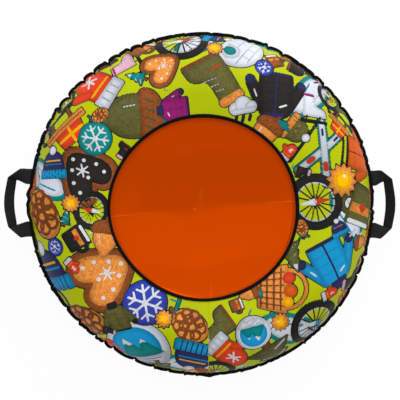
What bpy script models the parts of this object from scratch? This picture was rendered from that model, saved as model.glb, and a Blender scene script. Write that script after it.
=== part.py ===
"""A round inflatable snow tube, 0.9 m across when blown up, built as its separate sewn and moulded pieces.

Metres, +Z up. The origin is under the centre of the tube, on the snow that it lies on.
A printed ring and a plain seat make the top of the cover, a coated disc makes the bottom, and their bound
edges stand out as a gathered fin round the rim. Two webbing handles are sewn under the fin. A rubber inner
tube fills the cover and goes in through a zip in the bottom.
"""

import math

import bmesh
import bpy
from mathutils import Matrix, Vector

# The sRGB curve, from a written colour to linear light
SRGB_KNEE = 0.04045
SRGB_SLOPE = 12.92
SRGB_OFFSET = 0.055
SRGB_POWER = 2.4

# Clearances and overruns
CLEARANCE = 0.0003          # between pieces that touch
CUT_OVERRUN = 0.002         # how far a cutter or a joined shape runs past the face that it meets

# Inner tube
TUBE_CENTRE_RADIUS = 0.3128  # from the middle of the object to the middle of the tube
TUBE_HALF_WIDTH = 0.125
TUBE_HALF_HEIGHT = 0.120
TUBE_WALL = 0.0015
TUBE_SIDES = 16              # flats round the tube's section; a multiple of 4, so that one lies on the snow
TUBE_SEGMENTS = 30
TUBE_CLEARANCE = 0.0008      # between the tube and its cover

# Cover
TOP_FABRIC = 0.0008
BOTTOM_FABRIC = 0.0010
SEAT_SEAM_RADIUS = 0.238
SEAT_SEAM_DROP = 0.012       # how far the seat's seam hangs below the crest of the tube
SEAT_DISH = 0.014            # how far the middle of the seat sags below its seam
SEAT_RING_SHARES = (0.68, 0.34)
BOTTOM_FLAT_RADIUS = 0.246   # inside this the bottom is drawn up off the snow
BOTTOM_LIFT = 0.012          # how far it is drawn up
COVER_SEGMENTS = 60          # also the number of gathers round the rim

# Rim seam, its binding and its gathers
FIN_DEPTH = 0.0105           # how far the bound seam stands out from the cover's wall
BINDING_TAPE = 0.0007
GATHER_SWELL = 0.0024        # how far the cover puffs out between two gathers
GATHER_RIPPLE = 0.0030       # how far the fin rises and falls
GATHER_RUN = 0.050           # how far up and down the wall the gathers reach
GATHER_STRAP_SHARES = (1.7, 2.6)  # of a strap's half width: where the gathers start beside it, and are full

# Seat binding
SEAT_BINDING_WIDTH = 0.011
SEAT_BINDING_HEIGHT = 0.0032
SEAT_BINDING_CROWN_SHARE = 0.56

# Handles, each one length of webbing
WEBBING_WIDTH = 0.040
WEBBING = 0.0016
HANDLE_HALF_SPAN = 0.0897    # from the middle of a handle to its furthest edge
HANDLE_REACH = 0.0585        # from the line that the webbing bends on to the outside of the grip
HANDLE_HINGE_OFFSET = 0.002  # from the rim to that line
STRAP_END_INSET = 0.0016     # between the cover's wall and the sewn end of the webbing
# Where the two edges of the webbing lie, from the sewn end to the middle of the grip:
# the outer edge's share of the reach and of the half span, then the inner edge's
HANDLE_EDGE_SHARES = (
    ((0.000, 0.985), (0.000, 0.539)),
    ((0.030, 0.985), (0.030, 0.539)),
    ((0.170, 0.995), (0.095, 0.562)),
    ((0.330, 0.990), (0.200, 0.592)),
    ((0.560, 0.890), (0.350, 0.632)),
    ((0.740, 0.800), (0.440, 0.655)),
    ((0.855, 0.730), (0.490, 0.655)),
    ((0.900, 0.600), (0.505, 0.560)),
    ((0.945, 0.420), (0.540, 0.400)),
    ((0.985, 0.200), (0.570, 0.200)),
    ((1.000, 0.000), (0.580, 0.000)),
)

# Zip in the bottom
ZIP_TAPE_WIDTH = 0.016
ZIP_TAPE = 0.0008
ZIP_PITCH = 0.0064
TOOTH_LENGTH = 0.0031        # along the zip
TOOTH_REACH = 0.0010         # past the middle of the zip
TOOTH_HEIGHT = 0.0026
SPINE_INNER = 0.0020         # the row's solid edge, measured from the middle of the zip
SPINE_OUTER = 0.0042
SLIT_HALF_WIDTH = 0.0078
SLIT_END_ROOM = 0.020        # of slit past the last tooth
STOP_LENGTH = 0.004
STOP_HEIGHT = 0.0032
PATCH_LENGTH = 0.020
PATCH_WIDTH = 0.034
PATCH_MARGIN = 0.0139        # from a patch to the edge of the bottom's raised middle, at the least

# Zip slider and its pull
SLIDER_LENGTH = 0.020
SLIDER_NOSE_HALF_WIDTH = 0.0072
SLIDER_NOSE_RUN = 0.0048     # length of the nose's sloping corners
SLIDER_PLATE = 0.0014
SLIDER_LIP = 0.0014          # thickness of the lips that hold the teeth in
SLIDER_CORNER = 0.0020
SLIDER_POST_LENGTH = 0.0045
SLIDER_POST_HALF_WIDTH = 0.0016
SLIDER_POST_TIP_SHARE = 0.3  # of the post's width, where it parts the teeth
BRIDGE_LENGTH = 0.0110
BRIDGE_WIDTH = 0.0030
BRIDGE_THICKNESS = 0.0013
BRIDGE_ROOM = 0.0026         # between the slider's plate and the bridge, where the pull turns
PULL = 0.0016
PULL_LENGTH = 0.034
PULL_HALF_WIDTH = 0.0050
PULL_WAIST_HALF_WIDTH = 0.0040
PULL_RAIL = 0.0024
PULL_WINDOW = 0.0085         # length of the window that the bridge passes through
PULL_CORNER = 0.0030

# Valve, measured along its axis from the tube's wall towards the middle of the object
VALVE_SIDES = 14
VALVE_PATCH_RADIUS = 0.018
VALVE_PATCH = 0.0022
VALVE_BOSS_ROOT_RADIUS = 0.0075
VALVE_BOSS_TIP_RADIUS = 0.0056
VALVE_BOSS_LENGTH = 0.020
STEM_RADIUS = 0.00385
STEM_BORE_RADIUS = 0.0024
STEM_LENGTH = 0.033
STEM_FOOT_RADIUS = 0.0070
STEM_FOOT = 0.0015
CORE_LENGTH = 0.010
CORE_BORE_RADIUS = 0.0012
CORE_INSET = 0.0015          # of the core's end inside the stem's tip
PIN_RADIUS = 0.0008
PIN_PROUD = 0.0008           # of the pin past the end of the core
PIN_PLUG_LENGTH = 0.0015
PIN_PLUG_RADIUS = 0.0018
CAP_LENGTH = 0.0105
CAP_WALL = 0.0013
CAP_RIB = 0.0004             # how far the cap's grip ribs stand out
SEAL = 0.0010
SEAL_HOLE_RADIUS = 0.0013

# Worked out from the sizes above
TUBE_MITRE = 1 / math.cos(math.pi / TUBE_SIDES)
SEAM_HEIGHT = BOTTOM_FABRIC + TUBE_CLEARANCE + TUBE_HALF_HEIGHT
CREST_HEIGHT = SEAM_HEIGHT + TUBE_HALF_HEIGHT + TUBE_CLEARANCE + TOP_FABRIC
WALL_INSIDE = TUBE_CENTRE_RADIUS + TUBE_HALF_WIDTH + TUBE_CLEARANCE
WALL_RADIUS = WALL_INSIDE + max(TOP_FABRIC, BOTTOM_FABRIC)
RIM_RADIUS = WALL_RADIUS + FIN_DEPTH
RIM_POINTS = 2 * COVER_SEGMENTS
FIN_TOP = SEAM_HEIGHT + CLEARANCE / 2 + TOP_FABRIC + CLEARANCE + BINDING_TAPE
FIN_UNDERSIDE = SEAM_HEIGHT - CLEARANCE / 2 - BOTTOM_FABRIC - CLEARANCE - BINDING_TAPE
HINGE_X = RIM_RADIUS + HANDLE_HINGE_OFFSET
STRAP_HEIGHT = FIN_UNDERSIDE - CLEARANCE - WEBBING / 2


def tube_corner(step, grown=0.0):
    """A corner of the tube's section: (radius, height). Step 0 is the first one above the outer equator."""
    angle = math.tau * (step + 0.5) / TUBE_SIDES
    return (
        TUBE_CENTRE_RADIUS + (TUBE_HALF_WIDTH + grown) * TUBE_MITRE * math.cos(angle),
        SEAM_HEIGHT + (TUBE_HALF_HEIGHT + grown) * TUBE_MITRE * math.sin(angle),
    )


def slope_between(first, second):
    """Height gained for each unit of radius from one (radius, height) to another."""
    return (second[1] - first[1]) / (second[0] - first[0])


def cover_height(radius, side, fabric):
    """The height of the cover's outside where it lies on the tube, over it (side 1) or under it (-1)."""
    corners = [tube_corner(step, TUBE_CLEARANCE + fabric) for step in range(TUBE_SIDES // 2)]
    for outer, inner in zip(corners, corners[1:]):
        if inner[0] <= radius <= outer[0]:
            top = outer[1] + slope_between(inner, outer) * (radius - outer[0])
            return SEAM_HEIGHT + side * (top - SEAM_HEIGHT)
    return SEAM_HEIGHT


# Where cloth is drawn tight beside the tube: the seat's seam never lies in it, nor the bottom's middle
SEAT_SEAM_TOP = max(CREST_HEIGHT - SEAT_SEAM_DROP, cover_height(SEAT_SEAM_RADIUS, 1, TOP_FABRIC))
MIDDLE_HEIGHT = min(BOTTOM_LIFT, cover_height(BOTTOM_FLAT_RADIUS, -1, BOTTOM_FABRIC))

# The zip, as long as the bottom's middle has room for, and what lies along it
ZIP_ROOM = BOTTOM_FLAT_RADIUS - PATCH_MARGIN - PATCH_LENGTH - SLIT_END_ROOM
ZIP_TEETH = 2 * math.floor(ZIP_ROOM / ZIP_PITCH)  # on each side
ZIP_HALF_LENGTH = ZIP_TEETH * ZIP_PITCH / 2
ZIP_PLANE = MIDDLE_HEIGHT + BOTTOM_FABRIC + CLEARANCE + ZIP_TAPE / 2
SLIDER_TAIL_HALF_WIDTH = SPINE_OUTER + SLIDER_LIP + 2 * CLEARANCE
SLIDER_X = ZIP_HALF_LENGTH - SLIDER_LENGTH / 2 + SLIDER_POST_LENGTH + CLEARANCE
SLIDER_PLATE_GAP = TOOTH_HEIGHT / 2 + CLEARANCE
SLIDER_FACE = ZIP_PLANE - SLIDER_PLATE_GAP - SLIDER_PLATE
PULL_AXIS_HEIGHT = SLIDER_FACE - BRIDGE_ROOM / 2


def linear_channel(value):
    """One sRGB channel, from 0 to 1, in linear light."""
    if value <= SRGB_KNEE:
        return value / SRGB_SLOPE
    return ((value + SRGB_OFFSET) / (1 + SRGB_OFFSET)) ** SRGB_POWER


def material(name, colour, roughness, metallic=0.0):
    """A Principled BSDF in a plain sRGB colour given as six hex digits."""
    found = bpy.data.materials.new(name)
    found.use_nodes = True
    shader = found.node_tree.nodes["Principled BSDF"]
    channels = [int(colour[start:start + 2], 16) / 255 for start in (0, 2, 4)]
    shader.inputs["Base Color"].default_value = (*map(linear_channel, channels), 1)
    shader.inputs["Roughness"].default_value = roughness
    shader.inputs["Metallic"].default_value = metallic
    return found


def finish(name, mesh_builder, look, smooth_angle=40):
    """Turns a bmesh into a named object, shaded smooth where its faces meet at a shallow angle."""
    bmesh.ops.recalc_face_normals(mesh_builder, faces=mesh_builder.faces)
    mesh = bpy.data.meshes.new(name)
    mesh_builder.to_mesh(mesh)
    mesh_builder.free()
    mesh.shade_smooth()
    mesh.set_sharp_from_angle(angle=math.radians(smooth_angle))
    mesh.materials.append(look)
    obj = bpy.data.objects.new(name, mesh)
    bpy.context.collection.objects.link(obj)
    return obj


def smooth_share(value, low, high):
    """0 below low, 1 above high, and an even S between them."""
    share = min(1, max(0, (value - low) / (high - low)))
    return share * share * (3 - 2 * share)


def strap_root_angle():
    """Half the angle between the two sewn ends of a handle, at the middle of the webbing."""
    edge_shares = HANDLE_EDGE_SHARES[0]
    middle = HANDLE_HALF_SPAN * (edge_shares[0][1] + edge_shares[1][1]) / 2
    return math.asin(middle / RIM_RADIUS)


def calm_share(angle):
    """1 where the rim is free to gather, and 0 where the sewn end of a strap holds it flat."""
    from_handle = abs(math.remainder(angle, math.pi))
    from_strap = abs(from_handle - strap_root_angle())
    strap_half_angle = WEBBING_WIDTH / 2 / RIM_RADIUS
    start, full = (share * strap_half_angle for share in GATHER_STRAP_SHARES)
    return smooth_share(from_strap, start, full)


def gathered(radius, angle, height):
    """Where a point of the cover goes when the rim is gathered: (radius, height).

    Every piece at the rim is bent by this one rule, so that they stay nested.
    """
    near = max(0, 1 - abs(height - SEAM_HEIGHT) / GATHER_RUN) * calm_share(angle)
    wave = 0.5 - 0.5 * math.cos(COVER_SEGMENTS * angle)
    on_fin = max(0, (radius - WALL_INSIDE) / (RIM_RADIUS - WALL_INSIDE))
    return radius + GATHER_SWELL * wave * near, height + GATHER_RIPPLE * (2 * wave - 1) * near * on_fin


def add_loop(builder, radius, height, count, bend=None):
    """One horizontal ring of points about the Z axis, each moved by the bend where there is one."""
    loop = []
    for step in range(count):
        angle = math.tau * step / count
        r, z = bend(radius, angle, height) if bend else (radius, height)
        loop.append(builder.verts.new((r * math.cos(angle), r * math.sin(angle), z)))
    return loop


def add_quad(builder, corners):
    """Two triangles that meet on the shorter diagonal, so that nested skins fold along the same lines."""
    first, second, third, fourth = corners
    if (first.co - third.co).length > (second.co - fourth.co).length:
        first, second, third, fourth = second, third, fourth, first
    builder.faces.new((first, second, third))
    builder.faces.new((first, third, fourth))


def join_loops(builder, first, second):
    """Faces between two rings, one of which may have twice the points of the other."""
    if len(first) < len(second):
        first, second = second, first
    count = len(second)
    for step in range(count):
        after = (step + 1) % count
        if len(first) == count:
            add_quad(builder, (first[step], first[after], second[after], second[step]))
            continue
        start, middle, end = first[2 * step], first[2 * step + 1], first[2 * after]
        builder.faces.new((start, middle, second[step]))
        builder.faces.new((middle, second[after], second[step]))
        builder.faces.new((middle, end, second[after]))


def turned(name, profile, look, bend=None, ring=True, capped=False):
    """A solid turned about Z from (radius, height, points round it).

    A ring's profile closes on itself. A capped one is closed by a flat face at each of its ends.
    """
    builder = bmesh.new()
    loops = [add_loop(builder, r, z, count, bend) for r, z, count in profile]
    for first, second in zip(loops, loops[1:]):
        join_loops(builder, first, second)
    if ring:
        join_loops(builder, loops[-1], loops[0])
    if capped:
        builder.faces.new(loops[0])
        builder.faces.new(loops[-1])
    return finish(name, builder, look)


def offset_path(path, distance):
    """The path moved sideways to its left by the distance, with mitred corners."""
    points = [Vector(p) for p in path]
    sides = []
    for start, end in zip(points, points[1:]):
        along = (end - start).normalized()
        sides.append(Vector((-along.y, along.x)))
    moved = [points[0] + sides[0] * distance]
    for before, after, corner in zip(sides, sides[1:], points[1:]):
        middle = (before + after).normalized()
        moved.append(corner + middle * distance / middle.dot(after))
    moved.append(points[-1] + sides[-1] * distance)
    return [tuple(p) for p in moved]


def outline_prism(name, outline, low, high, look):
    """A flat outline in X and Y, pushed up from one height to another."""
    builder = bmesh.new()
    base = builder.faces.new([builder.verts.new((x, y, low)) for x, y in outline])
    pushed = bmesh.ops.extrude_face_region(builder, geom=[base])
    moved = [v for v in pushed["geom"] if isinstance(v, bmesh.types.BMVert)]
    bmesh.ops.translate(builder, verts=moved, vec=(0, 0, high - low))
    return finish(name, builder, look)


def box(name, low, high, look):
    """A box between two corners."""
    outline = ((low[0], low[1]), (high[0], low[1]), (high[0], high[1]), (low[0], high[1]))
    return outline_prism(name, outline, low[2], high[2], look)


def clipped_rectangle(low_x, high_x, half_y, corner):
    """A rectangle's outline with its four corners cut off."""
    return (
        (low_x + corner, -half_y), (high_x - corner, -half_y), (high_x, -half_y + corner),
        (high_x, half_y - corner), (high_x - corner, half_y), (low_x + corner, half_y),
        (low_x, half_y - corner), (low_x, -half_y + corner),
    )


def combine(target, other, operation):
    """Applies a Boolean of one object on another, and keeps the other only as a hidden helper."""
    modifier = target.modifiers.new(operation.title(), "BOOLEAN")
    modifier.operation = operation
    modifier.object = other
    modifier.solver = "EXACT"
    other.hide_render = True
    other.display_type = "WIRE"


def make_inner_tube(look):
    """The rubber tube: a hollow ring with one hole for the valve."""
    builder = bmesh.new()
    for grown, inward in ((0.0, False), (-TUBE_WALL, True)):
        corners = [tube_corner(step, grown) for step in range(TUBE_SIDES)]
        before = len(builder.faces)
        loops = [add_loop(builder, r, z, TUBE_SEGMENTS) for r, z in corners]
        for step, loop in enumerate(loops):
            join_loops(builder, loop, loops[(step + 1) % TUBE_SIDES])
        builder.faces.ensure_lookup_table()
        skin = builder.faces[before:]
        bmesh.ops.recalc_face_normals(builder, faces=skin)
        if inward:
            bmesh.ops.reverse_faces(builder, faces=skin)
    mesh = bpy.data.meshes.new("inner_tube")
    builder.to_mesh(mesh)
    builder.free()
    mesh.shade_smooth()
    mesh.materials.append(look)
    tube = bpy.data.objects.new("inner_tube", mesh)
    bpy.context.collection.objects.link(tube)
    return tube


def make_top_ring(look):
    """The printed ring: out along the fin, up the wall, over the crest and down to the seat's seam."""
    flange = (RIM_RADIUS - BINDING_TAPE - CLEARANCE, SEAM_HEIGHT + CLEARANCE / 2)
    wall = (WALL_INSIDE, flange[1])
    over = [tube_corner(step, TUBE_CLEARANCE) for step in range(TUBE_SIDES // 4 + 1)]
    seam = (SEAT_SEAM_RADIUS + CLEARANCE / 2, SEAT_SEAM_TOP - TOP_FABRIC)
    inner = [flange, wall, *over, seam]
    outer = offset_path(inner, -TOP_FABRIC)
    counts = [RIM_POINTS] * 3 + [COVER_SEGMENTS] * (len(inner) - 3)
    profile = [(*p, n) for p, n in zip(outer, counts)]
    profile += [(*p, n) for p, n in reversed(list(zip(inner, counts)))]
    return turned("top_ring", profile, look, bend=gathered)


def make_bottom_panel(look):
    """The coated disc: out along the fin, down the wall, flat on the snow, then drawn up in the middle."""
    flange = (RIM_RADIUS - BINDING_TAPE - CLEARANCE, SEAM_HEIGHT - CLEARANCE / 2)
    wall = (WALL_INSIDE, flange[1])
    under = [tube_corner(-1 - step, TUBE_CLEARANCE) for step in range(TUBE_SIDES // 4 + 1)]
    middle = (BOTTOM_FLAT_RADIUS, MIDDLE_HEIGHT + BOTTOM_FABRIC)
    inner = [flange, wall, *(corner for corner in under if corner[0] > BOTTOM_FLAT_RADIUS), middle]
    outer = offset_path(inner, BOTTOM_FABRIC)
    outer[-1] = (BOTTOM_FLAT_RADIUS, MIDDLE_HEIGHT)
    counts = [RIM_POINTS] * 3 + [COVER_SEGMENTS] * (len(inner) - 3)
    profile = [(*p, n) for p, n in reversed(list(zip(outer, counts)))]
    profile += [(*p, n) for p, n in zip(inner, counts)]
    panel = turned("bottom_panel", profile, look, bend=gathered, ring=False, capped=True)
    slit_end = ZIP_HALF_LENGTH + SLIT_END_ROOM
    slit = outline_prism(
        "slit_cutter",
        clipped_rectangle(-slit_end, slit_end, SLIT_HALF_WIDTH, SLIT_HALF_WIDTH / 2),
        MIDDLE_HEIGHT - CUT_OVERRUN,
        MIDDLE_HEIGHT + BOTTOM_FABRIC + CUT_OVERRUN,
        look,
    )
    combine(panel, slit, "DIFFERENCE")
    return panel


def seat_top(radius):
    """The height of the seat's upper face, which sags evenly to its middle."""
    share = radius / SEAT_SEAM_RADIUS
    return SEAT_SEAM_TOP - SEAT_DISH * (1 - share * share)


def make_seat_panel(look):
    """The plain round seat, hung slack inside the ring."""
    edge = SEAT_SEAM_RADIUS - CLEARANCE / 2
    radii = [edge] + [share * SEAT_SEAM_RADIUS for share in SEAT_RING_SHARES]
    builder = bmesh.new()
    ends = []
    for drop in (0.0, TOP_FABRIC):
        loops = [add_loop(builder, r, seat_top(r) - drop, COVER_SEGMENTS) for r in radii]
        for first, second in zip(loops, loops[1:]):
            join_loops(builder, first, second)
        centre = builder.verts.new((0, 0, seat_top(0) - drop))
        for first, second in zip(loops[-1], loops[-1][1:] + loops[-1][:1]):
            builder.faces.new((first, second, centre))
        ends.append(loops[0])
    join_loops(builder, *ends)
    return finish("seat_panel", builder, look)


def make_seat_binding(look):
    """The black tape over the seat's seam: a low band whose underside follows the cloth on both sides."""
    half = SEAT_BINDING_WIDTH / 2
    crown = half * SEAT_BINDING_CROWN_SHARE
    seam = (SEAT_SEAM_RADIUS, seat_top(SEAT_SEAM_RADIUS))
    next_seat_radius = SEAT_RING_SHARES[0] * SEAT_SEAM_RADIUS
    seat_slope = slope_between((next_seat_radius, seat_top(next_seat_radius)), seam)
    crest = tube_corner(TUBE_SIDES // 4, TUBE_CLEARANCE + TOP_FABRIC)
    ring_slope = slope_between(seam, crest)
    underside = seam[1] + 2 * CLEARANCE
    profile = (
        (seam[0] - half, underside - seat_slope * half),
        (seam[0] - crown, underside + SEAT_BINDING_HEIGHT),
        (seam[0] + crown, underside + SEAT_BINDING_HEIGHT + ring_slope * crown),
        (seam[0] + half, underside + ring_slope * half),
        (seam[0], underside),
    )
    return turned("seat_binding", [(*p, COVER_SEGMENTS) for p in profile], look)


def make_rim_binding(look):
    """The black tape folded over the edges of both covers, gathered with them."""
    inner_radius = WALL_RADIUS + CLEARANCE
    profile = (
        (inner_radius, FIN_TOP),
        (RIM_RADIUS, FIN_TOP),
        (RIM_RADIUS, FIN_UNDERSIDE),
        (inner_radius, FIN_UNDERSIDE),
        (inner_radius, FIN_UNDERSIDE + BINDING_TAPE),
        (RIM_RADIUS - BINDING_TAPE, FIN_UNDERSIDE + BINDING_TAPE),
        (RIM_RADIUS - BINDING_TAPE, FIN_TOP - BINDING_TAPE),
        (inner_radius, FIN_TOP - BINDING_TAPE),
    )
    return turned("rim_binding", [(*p, RIM_POINTS) for p in profile], look, bend=gathered)


def handle_edges():
    """The webbing's two edges, in step, right round the handle: a list of (outer, inner) points.

    The webbing keeps its width, so where its edges look closer from above, one lies that much higher.
    """
    half = []
    for outer_share, inner_share in HANDLE_EDGE_SHARES:
        outer = Vector((outer_share[0] * HANDLE_REACH, outer_share[1] * HANDLE_HALF_SPAN))
        inner = Vector((inner_share[0] * HANDLE_REACH, inner_share[1] * HANDLE_HALF_SPAN))
        seen_width = (outer - inner).length
        rise = math.sqrt(max(0, WEBBING_WIDTH ** 2 - seen_width ** 2)) / 2
        half.append((Vector((*outer, rise)), Vector((*inner, -rise))))
    mirrored = [
        tuple(Vector((edge.x, -edge.y, edge.z)) for edge in pair) for pair in reversed(half[:-1])
    ]
    return half + mirrored


def make_handle(name, side, look):
    """One loop of webbing, with its origin on the line that it bends on. Side is 1 or -1 along X."""
    pairs = handle_edges()
    builder = bmesh.new()
    rings = []
    for step, (outer, inner) in enumerate(pairs):
        before = pairs[max(0, step - 1)]
        after = pairs[min(len(pairs) - 1, step + 1)]
        along = (after[0] + after[1] - before[0] - before[1]).normalized()
        face = along.cross(inner - outer).normalized() * WEBBING / 2
        corners = (outer + face, inner + face, inner - face, outer - face)
        rings.append([builder.verts.new((side * c.x, c.y, c.z)) for c in corners])
    for first, second in zip(rings, rings[1:]):
        for corner in range(4):
            after = (corner + 1) % 4
            builder.faces.new((first[corner], first[after], second[after], second[corner]))
    builder.faces.new(rings[0])
    builder.faces.new(rings[-1])
    handle = finish(name, builder, look, smooth_angle=60)
    handle.location = (side * HINGE_X, 0, STRAP_HEIGHT)
    return handle


def make_strap_end(name, side, end, look):
    """The sewn end of the webbing, flat under the fin. Side is 1 or -1 along X, and end along Y."""
    outer_share, inner_share = (edge[1] for edge in HANDLE_EDGE_SHARES[0])
    outline = []
    for share in (inner_share, outer_share):
        y = share * HANDLE_HALF_SPAN
        wall_x = math.sqrt((WALL_RADIUS + STRAP_END_INSET) ** 2 - y * y)
        outline.append((side * wall_x, end * y))
    stop_x = HINGE_X - WEBBING / 2 - CLEARANCE / 2
    outline += [(side * stop_x, outline[1][1]), (side * stop_x, outline[0][1])]
    low, high = STRAP_HEIGHT - WEBBING / 2, STRAP_HEIGHT + WEBBING / 2
    return outline_prism(name, outline, low, high, look)


def make_zip_row(name, side, look):
    """One row of moulded teeth on its spine, half a pitch apart from the other. Side is 1 or -1 along Y."""
    start = -ZIP_HALF_LENGTH
    shift = 0 if side > 0 else ZIP_PITCH / 2
    outline = [(start, side * SPINE_OUTER), (start, side * SPINE_INNER)]
    for tooth in range(ZIP_TEETH):
        near = start + shift + tooth * ZIP_PITCH + (ZIP_PITCH / 2 - TOOTH_LENGTH) / 2
        far = near + TOOTH_LENGTH
        outline += [(near, side * SPINE_INNER), (near, -side * TOOTH_REACH)]
        outline += [(far, -side * TOOTH_REACH), (far, side * SPINE_INNER)]
    end = -start + CLEARANCE
    outline += [(end, side * SPINE_INNER), (end, side * SPINE_OUTER)]
    return outline_prism(name, outline, ZIP_PLANE - TOOTH_HEIGHT / 2, ZIP_PLANE + TOOTH_HEIGHT / 2, look)


def make_zip(tape_look, teeth_look, patch_look):
    """The zip's two tapes, their teeth, the stops at its ends and the patches that hold those down."""
    tape_inner = SPINE_OUTER + CLEARANCE
    tape_end = ZIP_HALF_LENGTH + SLIT_END_ROOM + PATCH_LENGTH / 2
    stop_start = SLIDER_X + SLIDER_LENGTH / 2 + CLEARANCE
    for label, side in (("upper", 1), ("lower", -1)):
        edges = sorted((side * tape_inner, side * (tape_inner + ZIP_TAPE_WIDTH)))
        box(
            f"zip_tape_{label}",
            (-tape_end, edges[0], ZIP_PLANE - ZIP_TAPE / 2),
            (tape_end, edges[1], ZIP_PLANE + ZIP_TAPE / 2),
            tape_look,
        )
        make_zip_row(f"zip_teeth_{label}", side, teeth_look)
        rows = sorted((side * SPINE_INNER, side * SPINE_OUTER))
        box(
            f"zip_top_stop_{label}",
            (stop_start, rows[0], ZIP_PLANE - STOP_HEIGHT / 2),
            (stop_start + STOP_LENGTH, rows[1], ZIP_PLANE + STOP_HEIGHT / 2),
            teeth_look,
        )
    bottom_stop = -ZIP_HALF_LENGTH - CLEARANCE
    box(
        "zip_bottom_stop",
        (bottom_stop - STOP_LENGTH, -SPINE_OUTER, ZIP_PLANE - STOP_HEIGHT / 2),
        (bottom_stop, SPINE_OUTER, ZIP_PLANE + STOP_HEIGHT / 2),
        teeth_look,
    )
    for label, side in (("left", -1), ("right", 1)):
        start = side * (ZIP_HALF_LENGTH + SLIT_END_ROOM + PATCH_LENGTH / 2)
        ends = sorted((start - PATCH_LENGTH / 2, start + PATCH_LENGTH / 2))
        box(
            f"zip_patch_{label}",
            (ends[0], -PATCH_WIDTH / 2, MIDDLE_HEIGHT - CLEARANCE - BOTTOM_FABRIC),
            (ends[1], PATCH_WIDTH / 2, MIDDLE_HEIGHT - CLEARANCE),
            patch_look,
        )


def slider_outline(low_x, high_x):
    """The shield shape of the slider's plates: a narrow tail at the low end, a wide nose at the high end."""
    tail, nose = SLIDER_TAIL_HALF_WIDTH, SLIDER_NOSE_HALF_WIDTH
    one_side = (
        (low_x, tail - SLIDER_CORNER), (low_x + SLIDER_CORNER, tail),
        (high_x - SLIDER_NOSE_RUN, nose), (high_x, nose - SLIDER_NOSE_RUN),
    )
    return [(x, -y) for x, y in one_side] + list(reversed(one_side))


def make_slider(look):
    """The cast slider: two lipped plates joined by a post at the nose, with a bridge for the pull."""
    low_x, high_x = SLIDER_X - SLIDER_LENGTH / 2, SLIDER_X + SLIDER_LENGTH / 2
    outline = slider_outline(low_x, high_x)
    slider = outline_prism("zip_slider", outline, SLIDER_FACE, SLIDER_FACE + SLIDER_PLATE, look)
    top = ZIP_PLANE + SLIDER_PLATE_GAP
    shapes = [outline_prism("slider_top_plate", outline, top, top + SLIDER_PLATE, look)]
    lip_end = ZIP_TAPE / 2 + CLEARANCE
    into_plate = SLIDER_PLATE / 2
    ends = (
        (low_x + SLIDER_CORNER, SLIDER_TAIL_HALF_WIDTH - CLEARANCE),
        (high_x - SLIDER_NOSE_RUN, SLIDER_NOSE_HALF_WIDTH - CLEARANCE),
    )
    for side in (-1, 1):
        lip = [(x, side * y) for x, y in ends] + [(x, side * (y - SLIDER_LIP)) for x, y in reversed(ends)]
        shapes.append(
            outline_prism("lower_lip", lip, SLIDER_FACE + into_plate, ZIP_PLANE - lip_end, look)
        )
        shapes.append(outline_prism("upper_lip", lip, ZIP_PLANE + lip_end, top + into_plate, look))
    post_x, post_end = high_x - SLIDER_POST_LENGTH, high_x - SLIDER_CORNER / 2
    post_half = SLIDER_POST_HALF_WIDTH
    post_tip = post_half * SLIDER_POST_TIP_SHARE
    post = ((post_x, -post_tip), (post_end, -post_half), (post_end, post_half), (post_x, post_tip))
    shapes.append(
        outline_prism("slider_post", post, SLIDER_FACE + into_plate, top + into_plate, look)
    )
    shapes.append(make_bridge(look))
    for shape in shapes:
        combine(slider, shape, "UNION")
    return slider


def make_bridge(look):
    """The arch under the slider that holds the pull, drawn from the side and pushed across."""
    half = BRIDGE_LENGTH / 2
    foot = SLIDER_PLATE / 2
    depth = BRIDGE_ROOM + BRIDGE_THICKNESS
    outline = (
        (-half, -foot), (-half, depth - BRIDGE_THICKNESS), (-half + BRIDGE_THICKNESS, depth),
        (half - BRIDGE_THICKNESS, depth), (half, depth - BRIDGE_THICKNESS), (half, -foot),
        (half - BRIDGE_THICKNESS, -foot), (half - BRIDGE_THICKNESS, BRIDGE_ROOM),
        (-half + BRIDGE_THICKNESS, BRIDGE_ROOM), (-half + BRIDGE_THICKNESS, -foot),
    )
    bridge = outline_prism("slider_bridge", outline, -BRIDGE_WIDTH / 2, BRIDGE_WIDTH / 2, look)
    bridge.data.transform(Matrix.Rotation(-math.pi / 2, 4, "X"))
    bridge.data.transform(Matrix.Translation((SLIDER_X, 0, SLIDER_FACE)))
    return bridge


def make_pull(look):
    """The waisted pull tab, with its origin on the cross bar that turns under the bridge."""
    bar = PULL / 2
    one_side = (
        (bar, PULL_HALF_WIDTH - bar), (0, PULL_HALF_WIDTH), (-bar - PULL_WINDOW, PULL_HALF_WIDTH),
        (-bar - 2 * PULL_WINDOW, PULL_WAIST_HALF_WIDTH), (-PULL_LENGTH + PULL_CORNER, PULL_HALF_WIDTH),
        (-PULL_LENGTH, PULL_HALF_WIDTH - PULL_CORNER),
    )
    outline = [(x, -y) for x, y in one_side] + list(reversed(one_side))
    pull = outline_prism("zip_pull", outline, -bar, bar, look)
    rail = PULL_HALF_WIDTH - PULL_RAIL
    window = box(
        "pull_window",
        (-bar - PULL_WINDOW, -rail, -bar - CUT_OVERRUN),
        (-bar, rail, bar + CUT_OVERRUN),
        look,
    )
    grip_hole = outline_prism(
        "pull_grip_hole",
        clipped_rectangle(-PULL_LENGTH + PULL_RAIL, -bar - 2 * PULL_WINDOW, rail, bar),
        -bar - CUT_OVERRUN,
        bar + CUT_OVERRUN,
        look,
    )
    for helper in (window, grip_hole):
        helper.parent = pull
        combine(pull, helper, "DIFFERENCE")
    pull.location = (SLIDER_X, 0, PULL_AXIS_HEIGHT)
    return pull


def ribbed(radius, angle, height):
    """Sets out every other point of a ring that has twice the valve's sides, for the cap's grip ribs."""
    step = round(angle / math.tau * 2 * VALVE_SIDES)
    return radius + CAP_RIB * (step % 2), height


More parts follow.
